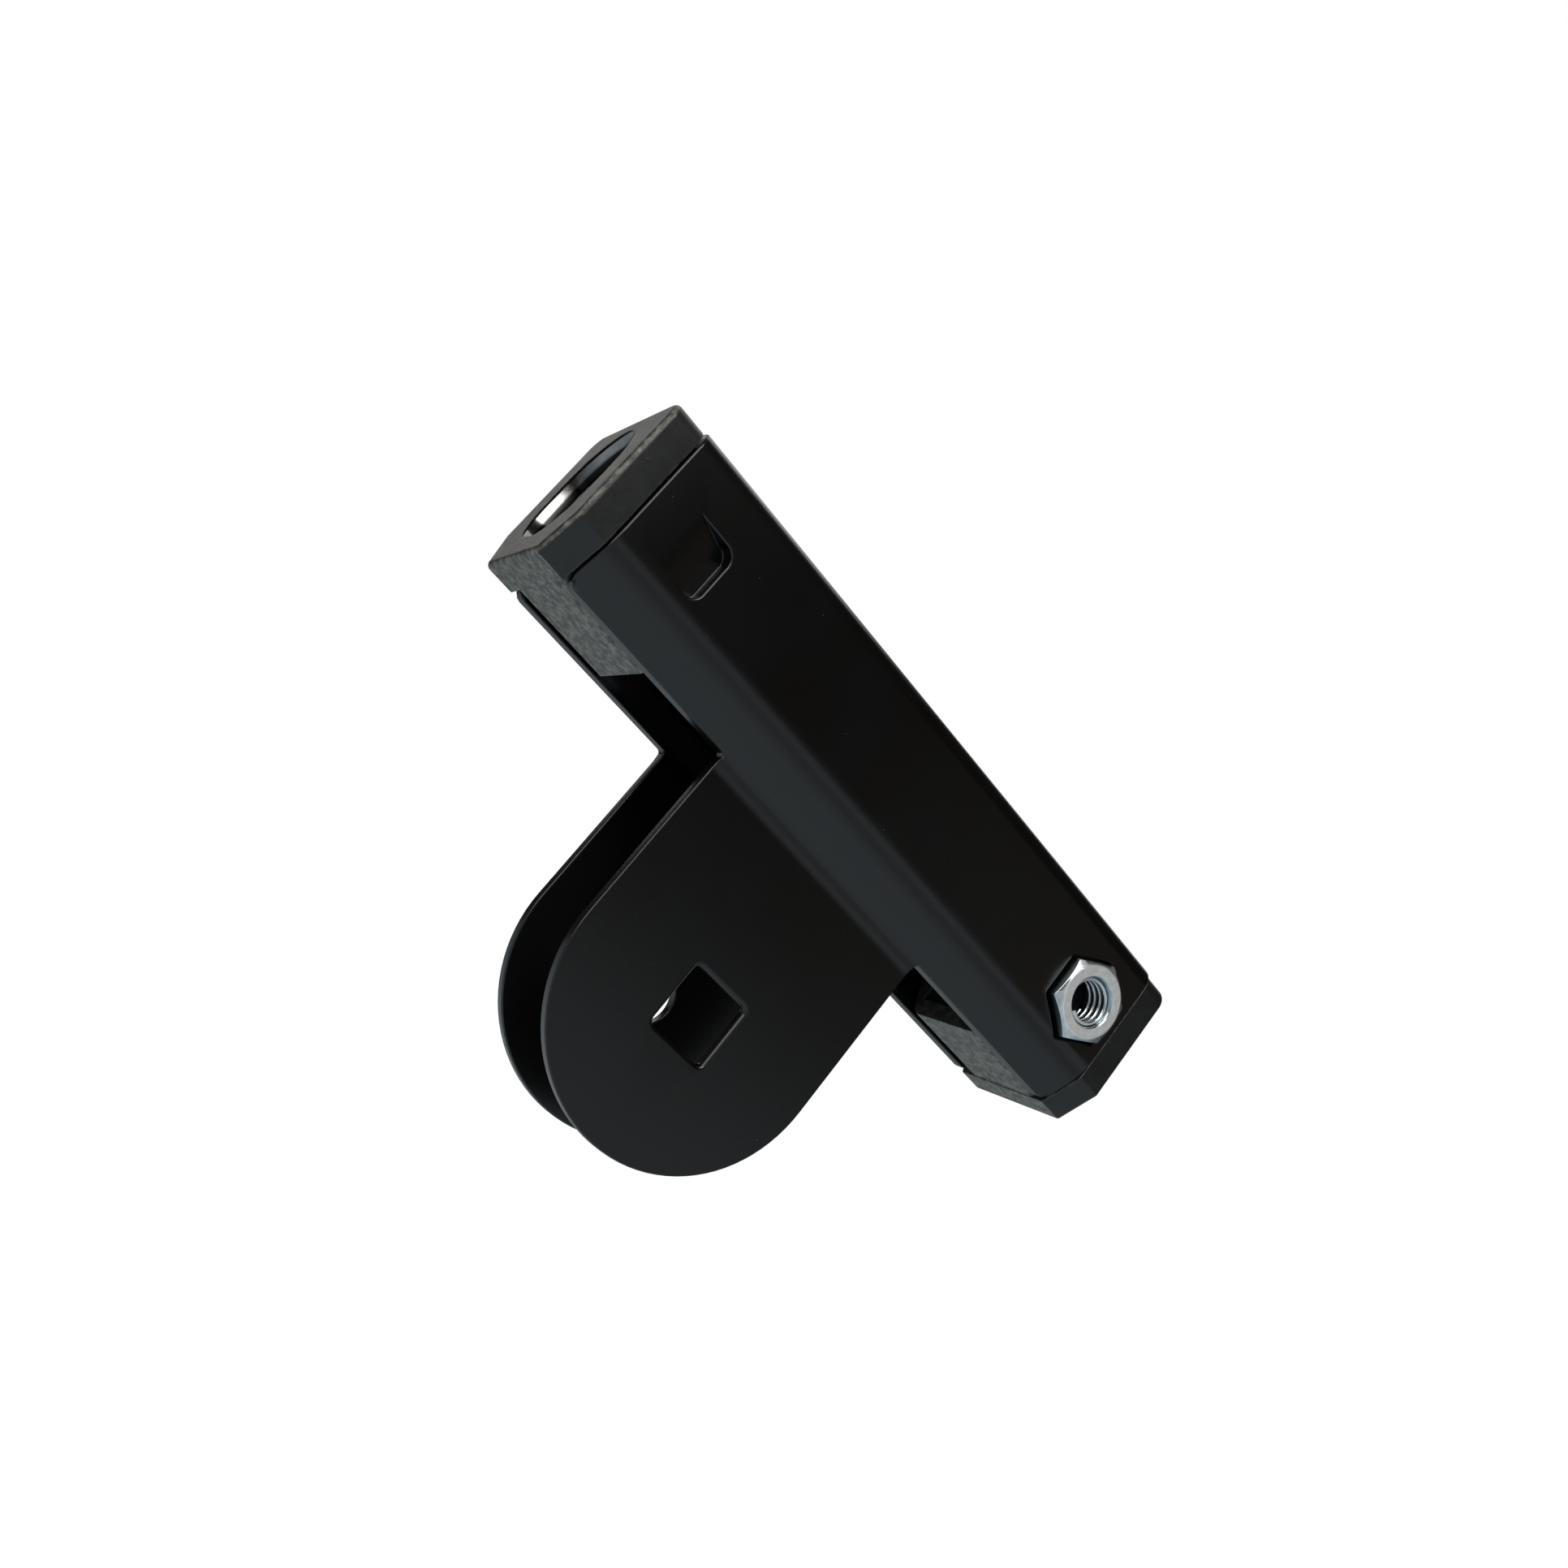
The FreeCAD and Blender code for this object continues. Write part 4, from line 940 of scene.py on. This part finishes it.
for end, outward in (("front", -1), ("rear", 1)):
    low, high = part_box("lock_nut_" + end)
    face_y = low.y if outward < 0 else high.y
    centre = Vector(((low.x + high.x) / 2, face_y, (low.z + high.z) / 2))
    thick = high.y - low.y
    half_flats = (high.z - low.z) / 2 * math.cos(SIXTH_TURN / 2)
    body = nut_body("nut_body_" + end, centre, half_flats, thick, outward)
    piece = link_piece("lock_nut_body_" + end, body, ZINC, "root", "zinc", "lock_nut_" + end)
    round_edges(piece, NUT_ROUND, segments=2, limit_method="ANGLE").angle_limit = NUT_CREASE
    turns = (thick - THREAD_PITCH) / THREAD_PITCH
    thread = grown(THREAD, "thread_" + end, Pitch=THREAD_PITCH, Turns=turns, Depth=THREAD_DEPTH,
                   Radius=THREAD_ROOT - THREAD_DEPTH * RIDGE_SINKS,
                   Place=(centre.x, centre.y - outward * thick / 2, centre.z),
                   Rotation=(math.radians(90) * -outward, 0.0, 0.0))
    link_piece("nut_thread_" + end, thread, ZINC, "root", "zinc")
    print(end, "nut", round(half_flats * 2 / MM, 2), "mm across flats,", round(turns, 2), "turns")

# %% [markdown]
# ## Guide rings
# The cable runs in and out through an oval ring of drawn stainless strip, rolled round a former and
# flared at its mouth. Rolling leaves it very slightly faceted, which a polished surface shows at
# once: its reflections come in blocks. The shape is a path with a section swept along it, so
# Geometry Nodes make it. A circle is stretched into an oval by moving its two halves apart, each
# point is shifted by a hair, and a wedge with round corners is swept round it. The wedge's narrow
# end is moved over by half the difference in width, which leaves its outer side straight.

# %% Ring tree
STRAIGHT_OUTSIDE = 0.5


def ring_tree(finish):
    sizes = {"Radius": 11.3 * MM, "Stretch": 2.8 * MM, "Wall": 1.2 * MM, "Mouth": 0.3 * MM,
             "Length": 3.2 * MM, "Lip": 0.1 * MM, "Unevenness": 0.07 * MM}
    tree, given = shape_tree("oval_ring", sizes, {"Facets": 32})
    path = add(tree, "GeometryNodeCurvePrimitiveCircle")
    join(tree, (given, "Facets"), (path, "Resolution"))
    join(tree, (given, "Radius"), (path, "Radius"))
    place = add(tree, "GeometryNodeInputPosition")
    split = add(tree, "ShaderNodeSeparateXYZ")
    join(tree, (place, 0), (split, 0))
    side = math_node(tree, "SIGN", (split, "X"))
    apart = add(tree, "ShaderNodeCombineXYZ")
    join(tree, scaled(tree, side, (given, "Stretch")), (apart, "X"))
    hair = add(tree, "FunctionNodeRandomValue", {"data_type": "FLOAT_VECTOR"}, Seed=4)
    hair.inputs["Min"].default_value = (-1.0, -1.0, 0.0)
    hair.inputs["Max"].default_value = (1.0, 1.0, 0.0)
    small = add(tree, "ShaderNodeVectorMath", {"operation": "SCALE"})
    join(tree, (hair, "Value"), (small, 0))
    join(tree, (given, "Unevenness"), (small, "Scale"))
    shift = add(tree, "ShaderNodeVectorMath", {"operation": "ADD"})
    join(tree, (apart, 0), (shift, 0))
    join(tree, (small, 0), (shift, 1))
    oval = add(tree, "GeometryNodeSetPosition")
    join(tree, (path, 0), (oval, "Geometry"))
    join(tree, (shift, 0), (oval, "Offset"))
    upright = add(tree, "GeometryNodeSetCurveNormal", {"mode": "Z_UP"})
    join(tree, (oval, 0), (upright, "Curve"))
    section = add(tree, "GeometryNodeCurvePrimitiveQuadrilateral", {"mode": "TRAPEZOID"})
    join(tree, (given, "Wall"), (section, "Bottom Width"))
    join(tree, (given, "Mouth"), (section, "Top Width"))
    join(tree, (given, "Length"), (section, "Height"))
    thinner = math_node(tree, "SUBTRACT", (given, "Wall"), (given, "Mouth"))
    join(tree, scaled(tree, thinner, STRAIGHT_OUTSIDE), (section, "Offset"))
    lips = add(tree, "GeometryNodeFilletCurve", {"mode": "POLY"}, Count=3, Limit_Radius=True)
    join(tree, (section, 0), (lips, "Curve"))
    join(tree, (given, "Lip"), (lips, "Radius"))
    sweep = add(tree, "GeometryNodeCurveToMesh")
    join(tree, (upright, 0), (sweep, "Curve"))
    join(tree, (lips, 0), (sweep, "Profile Curve"))
    hand_over(tree, given, (sweep, 0), finish)
    return tree


RING = ring_tree(LINER)

# %% [markdown]
# Both rings are the same piece turned round, so that each mouth faces out of its own end.

# %% Rings
RING_WALL = 1.2 * MM
RING_MOUTH = 0.3 * MM
RING_LIP = 0.1 * MM
RING_FACETS = 32

for end, outward in (("front", 1), ("rear", -1)):
    low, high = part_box("guide_ring_" + end)
    middle = (low + high) / 2
    half_width = (high.y - low.y) / 2
    half_height = (high.z - low.z) / 2
    mesh = grown(RING, "ring_" + end, Radius=half_width - RING_WALL / 2,
                 Stretch=half_height - half_width, Wall=RING_WALL, Mouth=RING_MOUTH,
                 Length=high.x - low.x, Lip=RING_LIP, Facets=RING_FACETS, Place=tuple(middle),
                 Rotation=(0.0, math.radians(-90) * outward, 0.0))
    fixed = bmesh.new()
    fixed.from_mesh(mesh)
    bmesh.ops.recalc_face_normals(fixed, faces=fixed.faces)
    fixed.to_mesh(mesh)
    fixed.free()
    link_piece("guide_ring_band_" + end, mesh, LINER, "root", "ring_steel", "guide_ring_" + end)
    outside = [round(half * 2 / MM, 1) for half in (half_width, half_height)]
    print(end, "ring", outside[0], "by", outside[1], "mm outside")

# %% [markdown]
# ## The parts inside
# The rollers, bearings and axles are lathe work and already have their true shape, so their CAD
# meshes stay and only get a finish. Each roller's own axle is given to its steel, so that the
# lathe's rings run round the right line.

# %% Inside parts
def dress(node, finish):
    """Give a CAD node a finish in its own material slots."""
    piece = frame["nodes"][node]
    for item in piece.material_slots:
        item.material = finish


for end in ("front", "rear"):
    low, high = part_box("axle_" + end)
    centre = (low + high) / 2
    turned_steel = metal("turned_steel_" + end, (0.50, 0.50, 0.50), (0.34, 0.34, 0.35), 0.22, 0.34,
                         axle=centre)
    ground_steel = metal("ground_steel_" + end, (0.66, 0.66, 0.67), (0.52, 0.52, 0.54), 0.10, 0.20,
                         axle=centre, pitch=0.05 * MM, relief=0.001 * MM)
    dress("roller_" + end, turned_steel)
    dress("inner_ring_" + end, ground_steel)
    dress("axle_" + end, ground_steel)
    dress("balls_" + end, ground_steel)
    dress("ball_cages_" + end, NYLON)
    dress("shields_" + end, SHIELD)
    dress("spacers_" + end, ZINC)
